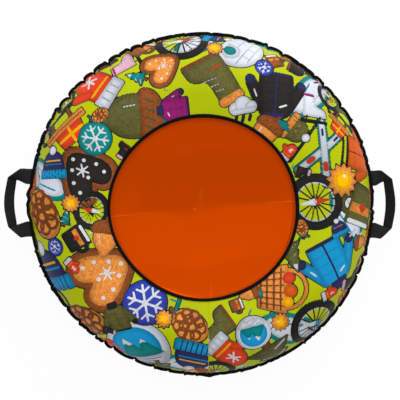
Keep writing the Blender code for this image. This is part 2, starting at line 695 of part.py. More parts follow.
def valve_piece(name, profile, look, parent, hollow=True):
    """A piece turned about the valve's axis. The profile is (radius, distance from the tube's wall)."""
    points = [(r, z, VALVE_SIDES) for r, z in profile]
    piece = turned(name, points, look, ring=hollow, capped=not hollow)
    piece.parent = parent
    return piece


def make_valve(tube, rubber, brass, steel, plastic):
    """The valve: a rubber base, a brass stem with its core and pin, and a screw cap with its seal."""
    wall_distance = tube_corner(TUBE_SIDES // 2 - 1)[0] * math.cos(math.pi / TUBE_SEGMENTS)
    axis = bpy.data.objects.new("valve_axis", None)
    bpy.context.collection.objects.link(axis)
    axis.location = (0, wall_distance, SEAM_HEIGHT)
    axis.rotation_euler = (math.pi / 2, 0, 0)

    bore = STEM_RADIUS + CLEARANCE
    base = (
        (bore, CLEARANCE), (VALVE_PATCH_RADIUS, CLEARANCE),
        (VALVE_PATCH_RADIUS - VALVE_PATCH, CLEARANCE + VALVE_PATCH),
        (VALVE_BOSS_ROOT_RADIUS, CLEARANCE + VALVE_PATCH),
        (VALVE_BOSS_TIP_RADIUS, VALVE_BOSS_LENGTH), (bore, VALVE_BOSS_LENGTH),
    )
    valve_piece("valve_base", base, rubber, axis)

    foot_top = -TUBE_WALL * TUBE_MITRE - CLEARANCE
    stem = (
        (STEM_BORE_RADIUS, foot_top - STEM_FOOT), (STEM_FOOT_RADIUS, foot_top - STEM_FOOT),
        (STEM_FOOT_RADIUS, foot_top), (STEM_RADIUS, foot_top),
        (STEM_RADIUS, STEM_LENGTH), (STEM_BORE_RADIUS, STEM_LENGTH),
    )
    valve_piece("valve_stem", stem, brass, axis)

    core_end = STEM_LENGTH - CORE_INSET
    core_start = core_end - CORE_LENGTH
    core_radius = STEM_BORE_RADIUS - CLEARANCE
    core = (
        (CORE_BORE_RADIUS, core_start), (core_radius, core_start),
        (core_radius, core_end), (CORE_BORE_RADIUS, core_end),
    )
    valve_piece("valve_core", core, brass, axis)

    plug_end = core_start - CLEARANCE
    pin = (
        (PIN_PLUG_RADIUS, plug_end - PIN_PLUG_LENGTH), (PIN_PLUG_RADIUS, plug_end),
        (PIN_RADIUS, plug_end), (PIN_RADIUS, core_end + PIN_PROUD),
    )
    valve_piece("valve_pin", pin, steel, axis, hollow=False)

    seal_start = STEM_LENGTH + CLEARANCE
    seal = (
        (SEAL_HOLE_RADIUS, seal_start), (STEM_RADIUS, seal_start),
        (STEM_RADIUS, seal_start + SEAL), (SEAL_HOLE_RADIUS, seal_start + SEAL),
    )
    valve_piece("valve_cap_seal", seal, rubber, axis)

    cap_inside = seal_start + SEAL + CLEARANCE
    cap_end = cap_inside + CAP_WALL
    mouth = cap_end - CAP_LENGTH
    outside = bore + CAP_WALL
    cap = (
        (bore, cap_inside, VALVE_SIDES), (bore, mouth, VALVE_SIDES), (outside, mouth, 2 * VALVE_SIDES),
        (outside, cap_inside, 2 * VALVE_SIDES), (bore, cap_end, VALVE_SIDES),
    )
    turned("valve_cap", cap, plastic, bend=ribbed, ring=False, capped=True).parent = axis

    hole = turned(
        "valve_hole_cutter",
        [(bore, foot_top - CUT_OVERRUN, VALVE_SIDES), (bore, CUT_OVERRUN, VALVE_SIDES)],
        rubber, ring=False, capped=True,
    )
    hole.parent = axis
    combine(tube, hole, "DIFFERENCE")


def build():
    """Clears the scene and makes every piece."""
    for obj in list(bpy.data.objects):
        bpy.data.objects.remove(obj)

    rubber = material("butyl_rubber", "222224", 0.75)
    print_cloth = material("printed_cloth", "BCC800", 0.55)
    seat_cloth = material("orange_coated_cloth", "C84A08", 0.40)
    bottom_cloth = material("black_tarpaulin", "1E1E20", 0.45)
    tape = material("black_binding_tape", "141414", 0.80)
    webbing = material("black_webbing", "222222", 0.80)
    zip_cloth = material("zip_tape_cloth", "18181A", 0.85)
    moulded = material("black_moulded_plastic", "1A1A1C", 0.40)
    cast = material("blackened_zinc", "5A5A5E", 0.35, 1.0)
    brass = material("brass", "C9A55A", 0.30, 1.0)
    steel = material("steel", "B8B8BC", 0.30, 1.0)

    tube = make_inner_tube(rubber)
    make_valve(tube, rubber, brass, steel, moulded)
    make_bottom_panel(bottom_cloth)
    make_top_ring(print_cloth)
    make_seat_panel(seat_cloth)
    make_seat_binding(tape)
    make_rim_binding(tape)
    for label, side in (("left", -1), ("right", 1)):
        make_handle(f"{label}_handle", side, webbing)
        for end_label, end in (("upper", 1), ("lower", -1)):
            make_strap_end(f"{label}_strap_end_{end_label}", side, end, webbing)
    make_zip(zip_cloth, moulded, bottom_cloth)
    make_slider(cast)
    make_pull(cast)
    print(f"rim {RIM_RADIUS * 2:.3f} m across, {CREST_HEIGHT:.3f} m high")


build()
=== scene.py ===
# %% [markdown]
# # A round snow tube, seen from above
#
# The object is an inflated ring under a sewn cover: a printed ring and a plain orange seat on top, a black
# coated disc below, a gathered and bound seam round the rim, and two webbing handles. The cloth, tapes,
# stitching and inner tube ride on the frame's body tube_and_cover; the handles' webbing and the frame's own
# rigid pieces are not put on a body. Metres, +Z up, and +Y is the photograph's top.

import math

import bpy
import numpy as np
from mathutils import Matrix, Vector


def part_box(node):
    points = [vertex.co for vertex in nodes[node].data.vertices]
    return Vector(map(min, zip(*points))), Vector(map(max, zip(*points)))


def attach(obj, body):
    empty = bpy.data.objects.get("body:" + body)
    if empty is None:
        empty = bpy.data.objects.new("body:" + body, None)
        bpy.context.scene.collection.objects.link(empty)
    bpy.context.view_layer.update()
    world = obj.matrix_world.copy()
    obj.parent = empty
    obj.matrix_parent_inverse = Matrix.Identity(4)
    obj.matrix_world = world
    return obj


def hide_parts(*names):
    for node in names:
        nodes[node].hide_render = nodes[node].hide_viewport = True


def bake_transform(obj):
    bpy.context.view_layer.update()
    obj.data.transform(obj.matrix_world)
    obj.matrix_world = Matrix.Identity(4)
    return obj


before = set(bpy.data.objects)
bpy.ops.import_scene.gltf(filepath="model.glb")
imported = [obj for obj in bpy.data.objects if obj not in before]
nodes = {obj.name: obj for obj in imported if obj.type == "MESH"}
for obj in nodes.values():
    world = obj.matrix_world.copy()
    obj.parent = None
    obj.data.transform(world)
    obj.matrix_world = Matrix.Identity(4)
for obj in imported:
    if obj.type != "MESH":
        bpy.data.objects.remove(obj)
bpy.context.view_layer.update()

# %% [markdown]
# ## Small helpers
#
# Colours are written as sRGB hex and turned to linear light by one function. One function adds a shader or
# geometry node with its settings and its links, and one starts a material. Nearly every finish here has a
# fine relief or an uneven gloss, so each of these has a function too. One more builds a mesh from numpy
# arrays.

# %% Helpers
MM = 0.001


def linear(code):
    """A colour written as six sRGB hex digits, in linear light with alpha 1."""
    channels = [int(code[i:i + 2], 16) / 255 for i in (0, 2, 4)]
    return (*(c / 12.92 if c <= 0.04045 else ((c + 0.055) / 1.055) ** 2.4 for c in channels), 1)


def add(tree, kind, inputs=None, **settings):
    """Adds a node. inputs gives its sockets, by name or number, a value or another node's output."""
    made = tree.nodes.new(kind)
    for key, value in settings.items():
        setattr(made, key, value)
    for key, value in (inputs or {}).items():
        if isinstance(value, bpy.types.NodeSocket):
            tree.links.new(value, made.inputs[key])
        else:
            made.inputs[key].default_value = value
    return made


def material(name, colour=None, roughness=0.5, **sockets):
    """A Principled material and its tree and shader; sockets are set by name, with _ for a space."""
    made = bpy.data.materials.new(name)
    made.use_nodes = True
    shader = made.node_tree.nodes["Principled BSDF"]
    if colour:
        shader.inputs["Base Color"].default_value = linear(colour)
    shader.inputs["Roughness"].default_value = roughness
    for key, value in sockets.items():
        shader.inputs[key.replace("_", " ")].default_value = value
    return made, made.node_tree, shader


def relief(tree, shader, place, pattern, scale, strength, height, inputs=None, **settings):
    """Gives a material a fine relief, this many metres high, from one texture, and returns its output."""
    texture = add(tree, pattern, {"Vector": place, "Scale": scale, **(inputs or {})}, **settings)
    amount = texture.outputs["Distance" if pattern == "ShaderNodeTexVoronoi" else "Fac"]
    bump = add(tree, "ShaderNodeBump", {"Height": amount, "Strength": strength, "Distance": height})
    tree.links.new(bump.outputs[0], shader.inputs["Normal"])
    return amount


def uneven(tree, shader, place, scale, detail, low, high):
    """Lets a material's roughness wander from low to high, as a cloudy pattern."""
    clouds = add(tree, "ShaderNodeTexNoise", {"Vector": place, "Scale": scale, "Detail": detail})
    rough = add(tree, "ShaderNodeMapRange", {"Value": clouds.outputs["Fac"], "To Min": low, "To Max": high})
    tree.links.new(rough.outputs[0], shader.inputs["Roughness"])


def linked(obj):
    """The object, put in the scene."""
    bpy.context.collection.objects.link(obj)
    return obj


def mesh_object(name, points, faces, look, uv=None, values=None):
    """A mesh from arrays. uv has one row for each point, and values one array for each attribute."""
    mesh = bpy.data.meshes.new(name)
    mesh.from_pydata(np.asarray(points).tolist(), [], [list(f) for f in faces])
    mesh.update()
    if uv is not None:
        corner = np.empty(len(mesh.loops), np.int32)
        mesh.loops.foreach_get("vertex_index", corner)
        mesh.uv_layers.new(name="cloth").data.foreach_set("uv", np.asarray(uv)[corner].ravel())
    for key, value in (values or {}).items():
        layer = mesh.attributes.new(key, "FLOAT", "POINT")
        layer.data.foreach_set("value", np.asarray(value, np.float32).ravel())
    mesh.polygons.foreach_set("use_smooth", [True] * len(mesh.polygons))
    mesh.materials.append(look)
    return linked(bpy.data.objects.new(name, mesh))


def grid_faces(rows, columns, close_rows=False):
    """Quads between closed rows of points that are numbered one row after another."""
    row = np.arange(rows if close_rows else rows - 1)
    row, column = (part.ravel() for part in np.meshgrid(row, np.arange(columns), indexing="ij"))
    after_row, after_column = (row + 1) % rows, (column + 1) % columns
    return np.stack([
        row * columns + column, row * columns + after_column,
        after_row * columns + after_column, after_row * columns + column,
    ], 1)


def outward(points, *groups):
    """The faces of a closed shape, turned over if it is inside out. A group is an array of like faces."""
    volume = 0.0
    for faces in groups:
        first = points[faces[:, 0]]
        for corner in range(1, faces.shape[1] - 1):
            volume += np.sum(first * np.cross(points[faces[:, corner]], points[faces[:, corner + 1]]))
    if volume < 0:
        groups = [faces[:, ::-1] for faces in groups]
    return [tuple(map(int, face)) for faces in groups for face in faces]


def end_caps(rows, count):
    """The two faces that close a strip made of this many rings of points."""
    ring = np.arange(count)
    return np.array([ring[::-1], (rows - 1) * count + ring])


def smoothstep(value, low, high):
    share = np.clip((np.asarray(value, float) - low) / (high - low), 0, 1)
    return share * share * (3 - 2 * share)


def hill(value, middle, width):
    """1 at the middle, falling off smoothly to each side."""
    return np.exp(-((value - middle) / width) ** 2)


# %% [markdown]
# ## Sizes
#
# They come from the frame's own pieces: the cover is an ellipse in section round the inner tube, its wall
# ends in a fin 122 mm above the snow, and the seat's seam lies on a circle 476 mm across.

# %% Sizes
TUBE_RADIUS = 312.8 * MM      # middle of the object to the middle of the tube
TUBE_A, TUBE_B = 126.6 * MM, 121.6 * MM   # the cover's half width and half height round it
SEAM_Z = 121.8 * MM           # height of the rim's seam
SEAT_RADIUS, SEAT_Z = 238 * MM, 231.4 * MM
RIM_RADIUS = 450.1 * MM       # edge of the seam that stands out
CLOTH, TARPAULIN = 0.8 * MM, 1.0 * MM     # thickness of the printed cloth, and of the underside's
HINGE_X = 452.1 * MM          # line that a handle bends on
STRAP_Z = 118.55 * MM
LEFT_UP = 7 * MM              # the left handle is sewn on this much nearer to the photograph's top
SLIT = (212 * MM, 7.8 * MM)   # half length and half width of the zip's opening
MIDDLE_RADIUS, MIDDLE_Z = 246 * MM, 12 * MM   # the bottom is drawn up inside this

# %% [markdown]
# ## Gathers round the rim
#
# Flat cloth has no shape that lies smoothly on a ring: about a sixth of its length is too much at the rim.
# Sewing takes it up in some sixty tucks. They aren't even, so a seeded list gives each tuck its own width,
# depth and run, and the cloth puffs out round and shallow between sharp tucks. The same columns of points
# serve the printed ring, the bottom and the rim's tape, so that all three stay nested.

# %% Gathers
SEAM_ANGLE = math.radians(-88)   # the ring's own radial seam, at the photograph's bottom
GATHERS, EACH = 60, 16           # tucks, and columns of points in each
rng = np.random.default_rng(11)
widths = rng.uniform(0.55, 1.5, GATHERS)
creases = SEAM_ANGLE + np.concatenate([[0], np.cumsum(widths)]) / widths.sum() * math.tau
COLUMNS = GATHERS * EACH
phase = np.arange(COLUMNS) / EACH
angle = np.interp(phase, np.arange(GATHERS + 1), creases)
degrees = np.degrees(angle) % 360
lean = np.repeat(rng.uniform(0.6, 1.6, GATHERS), EACH)    # most puffs lean to one side
whole_puff = np.abs(np.sin(np.pi * (phase % 1) ** lean)) ** 0.6
small_puff = np.abs(np.sin(np.pi * (2 * phase % 1))) ** 0.7
# Two in five of the puffs are pinched in two
pinched = np.repeat(np.where(rng.random(GATHERS) < 0.4, rng.uniform(0.3, 0.7, GATHERS), 0), EACH)
puff = whole_puff * (1 - pinched) + small_puff * pinched


def round_rim(low, high):
    """A seeded value at each tuck, drawn evenly from one to the next."""
    values = rng.uniform(low, high, GATHERS)
    return np.interp(phase, np.arange(GATHERS + 1), np.append(values, values[0]))


def between(low, high, soft_low, soft_high=None):
    """1 between two directions in degrees, 0 well outside them."""
    (rise_from, rise_to), (fall_from, fall_to) = soft_low, soft_high or soft_low
    return smoothstep(degrees, low + rise_from, low + rise_to) * (
        1 - smoothstep(degrees, high + fall_from, high + fall_to))


# Radians from a handle's middle
from_handle = np.abs((angle + math.pi / 2) % math.pi - math.pi / 2)
# 0 where the sewn end of a strap holds the rim flat, 1 away from it
beside_straps = smoothstep(np.abs(from_handle - 0.152), 0.06, 0.115)
TUCK_DEPTH, DEEPEST = 4.8 * MM, 8.5 * MM
# Degrees from and to, and gain: the photograph shows a calmer rim in three places, and a bolder one at its
# upper left
MOODS = ((66, 108, -0.5), (160, 214, -0.6), (258, 330, -0.5), (112, 156, 0.7))
depth = TUCK_DEPTH * round_rim(0.25, 1.35)
for low, high, gain in MOODS:
    depth *= 1 + gain * between(low, high, (-6, 6))
depth = np.minimum(depth, DEEPEST) * beside_straps
# How far the tucks run, above and below
runs = {1: round_rim(52 * MM, 84 * MM), -1: round_rim(40 * MM, 70 * MM)}
# Beside some tucks the bound edge bunches up into a small ear
ear_size = np.where(rng.random(GATHERS) < 0.45, rng.uniform(1.4, 4.2, GATHERS), 0.3) * MM
ears = np.repeat(ear_size, EACH) * hill(phase % 1, 0.14, 0.08) * beside_straps
# Degrees, millimetres out and degrees wide: a broad one where the radial seam ends, and small ones at the
# handles
EARS = ((-87.7, 4.6, 1.7), (176.3, 2.2, 0.5), (177.8, -2.6, 0.4),
        (4.4, 2.8, 0.6), (-2.6, 2.6, 0.6), (-4.8, 2.4, 0.6))
for at, size, width in EARS:
    ears += size * MM * hill((degrees - at + 180) % 360 - 180, 0, width)
scallop = (puff ** 0.6 - 0.8) * depth * 1.2 + ears   # how far the rim itself stands out or in
wave = (puff - 0.5) * depth * 0.55 - 0.4 * ears      # and rises or falls


def out_of_round(at, *terms):
    """How far a seam stands out from its circle, in metres, from (turns, cosine, sine) in millimetres."""
    return MM * sum(c * np.cos(n * at) + s * np.sin(n * at) for n, c, s in terms)


def seat_out(at):
    """The seat's seam is a little wider than it is high."""
    return out_of_round(at, (2, 2.6, -0.8), (3, -0.7, 0), (4, 0.9, -0.2), (5, -0.6, -0.2))


# The straps hold the rim on its circle, and between the left handle's ends the cover bulges
BULGE = 5.5 * MM
rim_out = out_of_round(angle, (2, 1.1, -2.3), (3, -2.1, 0.5)) * smoothstep(from_handle, 0.2, 0.5)
rim_out += BULGE * between(174.5, 183.9, (-1.1, 1.1), (-1.7, 1.7))


def tucked(distance, side):
    """How far each column stands off the smooth cover, this far along the cloth from the rim's seam."""
    share = np.clip(distance / runs[side], 0, 1)
    fade = (1 - share) ** 2 * (1 + 2 * share)
    fine = np.clip(1 - distance / (0.3 * runs[side]), 0, 1) ** 2
    return depth * ((puff - 0.52) * fade + 0.22 * (small_puff - 0.5) * fine)


print("tucks", GATHERS, "columns", COLUMNS, "deepest", round(depth.max() / MM, 2), "mm")

# %% [markdown]
# ## The cover's section
#
# Cloth under pressure takes the tube's shape, and runs straight where it leaves it. So each side of the
# cover is one path: straight from the seat's seam, or the raised middle, to where it touches an ellipse,
# round that to the side, and out in a small curve into the fin that is sewn. A ring of points can then be
# laid at any distance along it, which keeps the cloth's true length.

# %% Section of the cover
FIN_GAP = 0.95 * MM           # half the room between the two sides in the fin
FIN_ROOT = 10.2 * MM          # cloth from where the wall turns out to the edge
PRESSED = 1.4 * MM            # the weight presses the tube flat on the snow by this much
SNOW = 0.3 * MM               # the cloth's lowest height


def bezier(first, pull, last, count=24):
    share = np.linspace(0, 1, count)[:, None]
    return ((1 - share) ** 2 * np.array(first) + 2 * share * (1 - share) * np.array(pull)
            + share ** 2 * np.array(last))


def section(side):
    """The cover's outside from the middle outwards to the fin's edge, as dense (radius, height) points."""
    start = np.array((SEAT_RADIUS, SEAT_Z) if side > 0 else (MIDDLE_RADIUS, MIDDLE_Z))
    half = TUBE_B if side > 0 else TUBE_B + PRESSED
    across, up = (start[0] - TUBE_RADIUS) / TUBE_A, side * (start[1] - SEAM_Z) / half
    touch = math.atan2(across, up) + math.acos(1 / math.hypot(across, up))
    turn = np.linspace(touch, math.acos(4.2 * MM / half), 400)
    tube = np.stack([TUBE_RADIUS + TUBE_A * np.sin(turn), SEAM_Z + side * half * np.cos(turn)], 1)
    fin_z = SEAM_Z + side * FIN_GAP
    root = bezier(tube[-1], (tube[-1][0] + 0.2 * MM, fin_z), (tube[-1][0] + 3.6 * MM, fin_z))
    straight = start + np.linspace(0, 1, 60)[:-1, None] * (tube[0] - start)
    fin = np.array([(RIM_RADIUS - 3.2 * MM, fin_z)])
    path = np.concatenate([straight, tube, root[1:], fin])
    path[:, 1] = np.maximum(path[:, 1], SNOW)
    return path


class Cover:
    """One side of the cover: gives points at any distance along the cloth, with the tucks in it."""

    def __init__(self, side):
        self.side = side
        self.path = section(side)
        step = np.linalg.norm(np.diff(self.path, axis=0), axis=1)
        self.along = np.concatenate([[0], np.cumsum(step)])
        self.length = self.along[-1]
        tangent = np.gradient(self.path, self.along, axis=0)
        normal = np.stack([-tangent[:, 1], tangent[:, 0]], 1) * side
        self.normal = normal / np.linalg.norm(normal, axis=1)[:, None]
        self.root = self.length - FIN_ROOT   # where the wall turns out into the fin

    def row(self, at, inside=0.0):
        """One ring of points, at this distance from the seat's or the middle's edge."""
        r, z = (np.interp(at, self.along, self.path[:, k]) for k in (0, 1))
        nr, nz = (np.interp(at, self.along, self.normal[:, k]) for k in (0, 1))
        off = tucked(max(0, self.root - at), self.side)
        if self.side < 0:   # nothing puffs down into the snow
            off = off * smoothstep(z, 12 * MM, 45 * MM)
        on_fin = float(smoothstep(at, self.root - 7 * MM, self.root + 1 * MM))
        radius = r + (nr * off) * (1 - on_fin) + scallop * on_fin - nr * inside
        radius = radius + rim_out * smoothstep(r, 330 * MM, 430 * MM)
        if self.side > 0:
            radius = radius + seat_out(angle) * (1 - smoothstep(r, SEAT_RADIUS, 310 * MM))
        height = z + (nz * off) * (1 - on_fin) + wave * on_fin - nz * inside
        # The ring's radial seam lies in a shallow groove
        groove = 1.1 * MM * hill(radius * (angle - SEAM_ANGLE), 0, 2.5 * MM) * (self.side > 0)
        radius = radius - groove * nr
        return np.stack([radius * np.cos(angle), radius * np.sin(angle), height - groove * nz], 1)


def from_edge(length, rows):
    """Distances along the cloth, closer together over the last 30 mm before the rim."""
    near = 30 * MM
    return np.concatenate([np.linspace(0, length - near, rows[0], endpoint=False),
                           np.linspace(length - near, length, rows[1])])


top = Cover(1)
bottom = Cover(-1)

# %% [markdown]
# ## Printed ring
#
# A coated polyester cut as a flat ring and sewn with one radial seam. It is built at its real thickness, with
# an outer skin fine enough to carry the print and a coarser inner skin. Each point knows where it lies on the
# flat cloth, and the print is drawn there, so it crowds together in the tucks as real printed cloth does.

# %% Ring mesh
OUTER_ROWS, INNER_ROWS = 88, 10
stops = from_edge(top.length, (OUTER_ROWS - 20, 20))
inner_stops = np.concatenate([
    np.linspace(0, top.root - 8 * MM, INNER_ROWS - 3), top.root + np.array([0, 4, 9.6]) * MM])[::-1]
ring_points = np.concatenate([top.row(at) for at in stops] + [top.row(at, CLOTH) for at in inner_stops])
ring_flat = np.repeat(SEAT_RADIUS + np.concatenate([stops, inner_stops]), COLUMNS)
ring_angle = np.tile(angle, OUTER_ROWS + INNER_ROWS)
flat_xy = np.stack([ring_flat * np.cos(ring_angle), ring_flat * np.sin(ring_angle)], 1)
ring_faces = outward(ring_points, grid_faces(OUTER_ROWS + INNER_ROWS, COLUMNS, close_rows=True))
print("ring", len(ring_points), "points", 2 * len(ring_faces), "triangles")

# %% [markdown]
# ## Print
#
# A generic winter print: badges, trees, mittens, hats, mugs, cones, sledges and skates in flat colours with
# thin dark outlines on lime. Every shape is a signed distance in the flat cloth, kept as one value for each
# colour at each point of the mesh and cut sharp in the shader, so that edges stay crisp between points.

# %% Print shapes
PRINT = {   # the print's inks
    "ink": "0E2226", "teal": "008080", "grey": "C8CDD6", "tan": "E08A3C", "brown": "8A4A20",
    "coal": "25221F", "sky": "1492C8", "navy": "2C2C5A", "royal": "2E3C9E", "red": "D23C1C",
    "purple": "8E1C6A", "lilac": "CDA0B0", "yellow": "F8B400", "white": "E8ECEF", "orange": "D0560E",
    "olive": "5C5A2C",
}
# How strongly brush marks show in an ink, and in the rest
BRUSHED = {"tan": 1.0, "brown": 0.9, "coal": 0.9, "olive": 0.9, "lilac": 0.5, "orange": 0.4, "navy": 0.4}
PLAIN = 0.15
FAR = 20 * MM   # a distance that means no print near
field = {key: np.full(len(ring_points), FAR) for key in PRINT}
tone = np.zeros(len(ring_points))
brush = np.zeros(len(ring_points))


def disc(p, x, y, radius, squash=1.0):
    return np.hypot(p[:, 0] - x, (p[:, 1] - y) / squash) - radius


def bar(p, x0, y0, x1, y1, width):
    start, way = np.array((x0, y0)), np.array((x1 - x0, y1 - y0))
    share = np.clip(((p - start) @ way) / max(way @ way, 1e-9), 0, 1)
    return np.linalg.norm(p - start - share[:, None] * way, axis=1) - width / 2


def hoop(p, x, y, radius, width):
    return np.abs(np.hypot(p[:, 0] - x, p[:, 1] - y) - radius) - width / 2


def patch(p, corners, grow=0.0):
    """Signed distance to a polygon, rounded by grow."""
    corners = np.array(corners, float)
    nearest, inside = np.full(len(p), 1e9), np.zeros(len(p), bool)
    for first, last in zip(corners, np.roll(corners, -1, axis=0)):
        way = last - first
        share = np.clip(((p - first) @ way) / (way @ way), 0, 1)
        nearest = np.minimum(nearest, np.linalg.norm(p - first - share[:, None] * way, axis=1))
        if first[1] != last[1]:
            crosses = (first[1] > p[:, 1]) != (last[1] > p[:, 1])
            at = first[0] + (p[:, 1] - first[1]) * way[0] / way[1]
            inside ^= crosses & (p[:, 0] < at)
    return np.where(inside, -nearest, nearest) - grow


def blob(p, corners, grow=0.0):
    """The same with its corners cut twice, so that they are round. A corner given twice stays tighter."""
    corners = np.array(corners, float)
    for _ in range(2):
        after = np.roll(corners, -1, axis=0)
        corners = np.stack([0.75 * corners + 0.25 * after, 0.25 * corners + 0.75 * after], 1).reshape(-1, 2)
    apart = np.linalg.norm(corners - np.roll(corners, 1, axis=0), axis=1) > 1e-6
    return patch(p, corners[apart], grow)


SHAPES = {"disc": disc, "bar": bar, "hoop": hoop, "patch": patch, "blob": blob}


def star(points, inner):
    """Corners of a star of radius 1 with its roots at inner."""
    turn = np.arange(2 * points) * np.pi / points + np.pi / 2
    size = np.where(np.arange(2 * points) % 2 == 0, 1, inner)
    return np.stack([size * np.cos(turn), size * np.sin(turn)], 1).tolist()


def bars(ink, width, *ends):
    """One bar for each (x, y, x, y)."""
    return [(ink, "bar", *end, width) for end in ends]


def spokes(ink, width, count, inner, outer, skew=0.0):
    """Bars set round the middle, from one distance to another, the outer ends turned on by skew."""
    return bars(ink, width, *[
        (inner * math.cos(a), inner * math.sin(a), outer * math.cos(a + skew), outer * math.sin(a + skew))
        for a in np.arange(count) * math.tau / count])


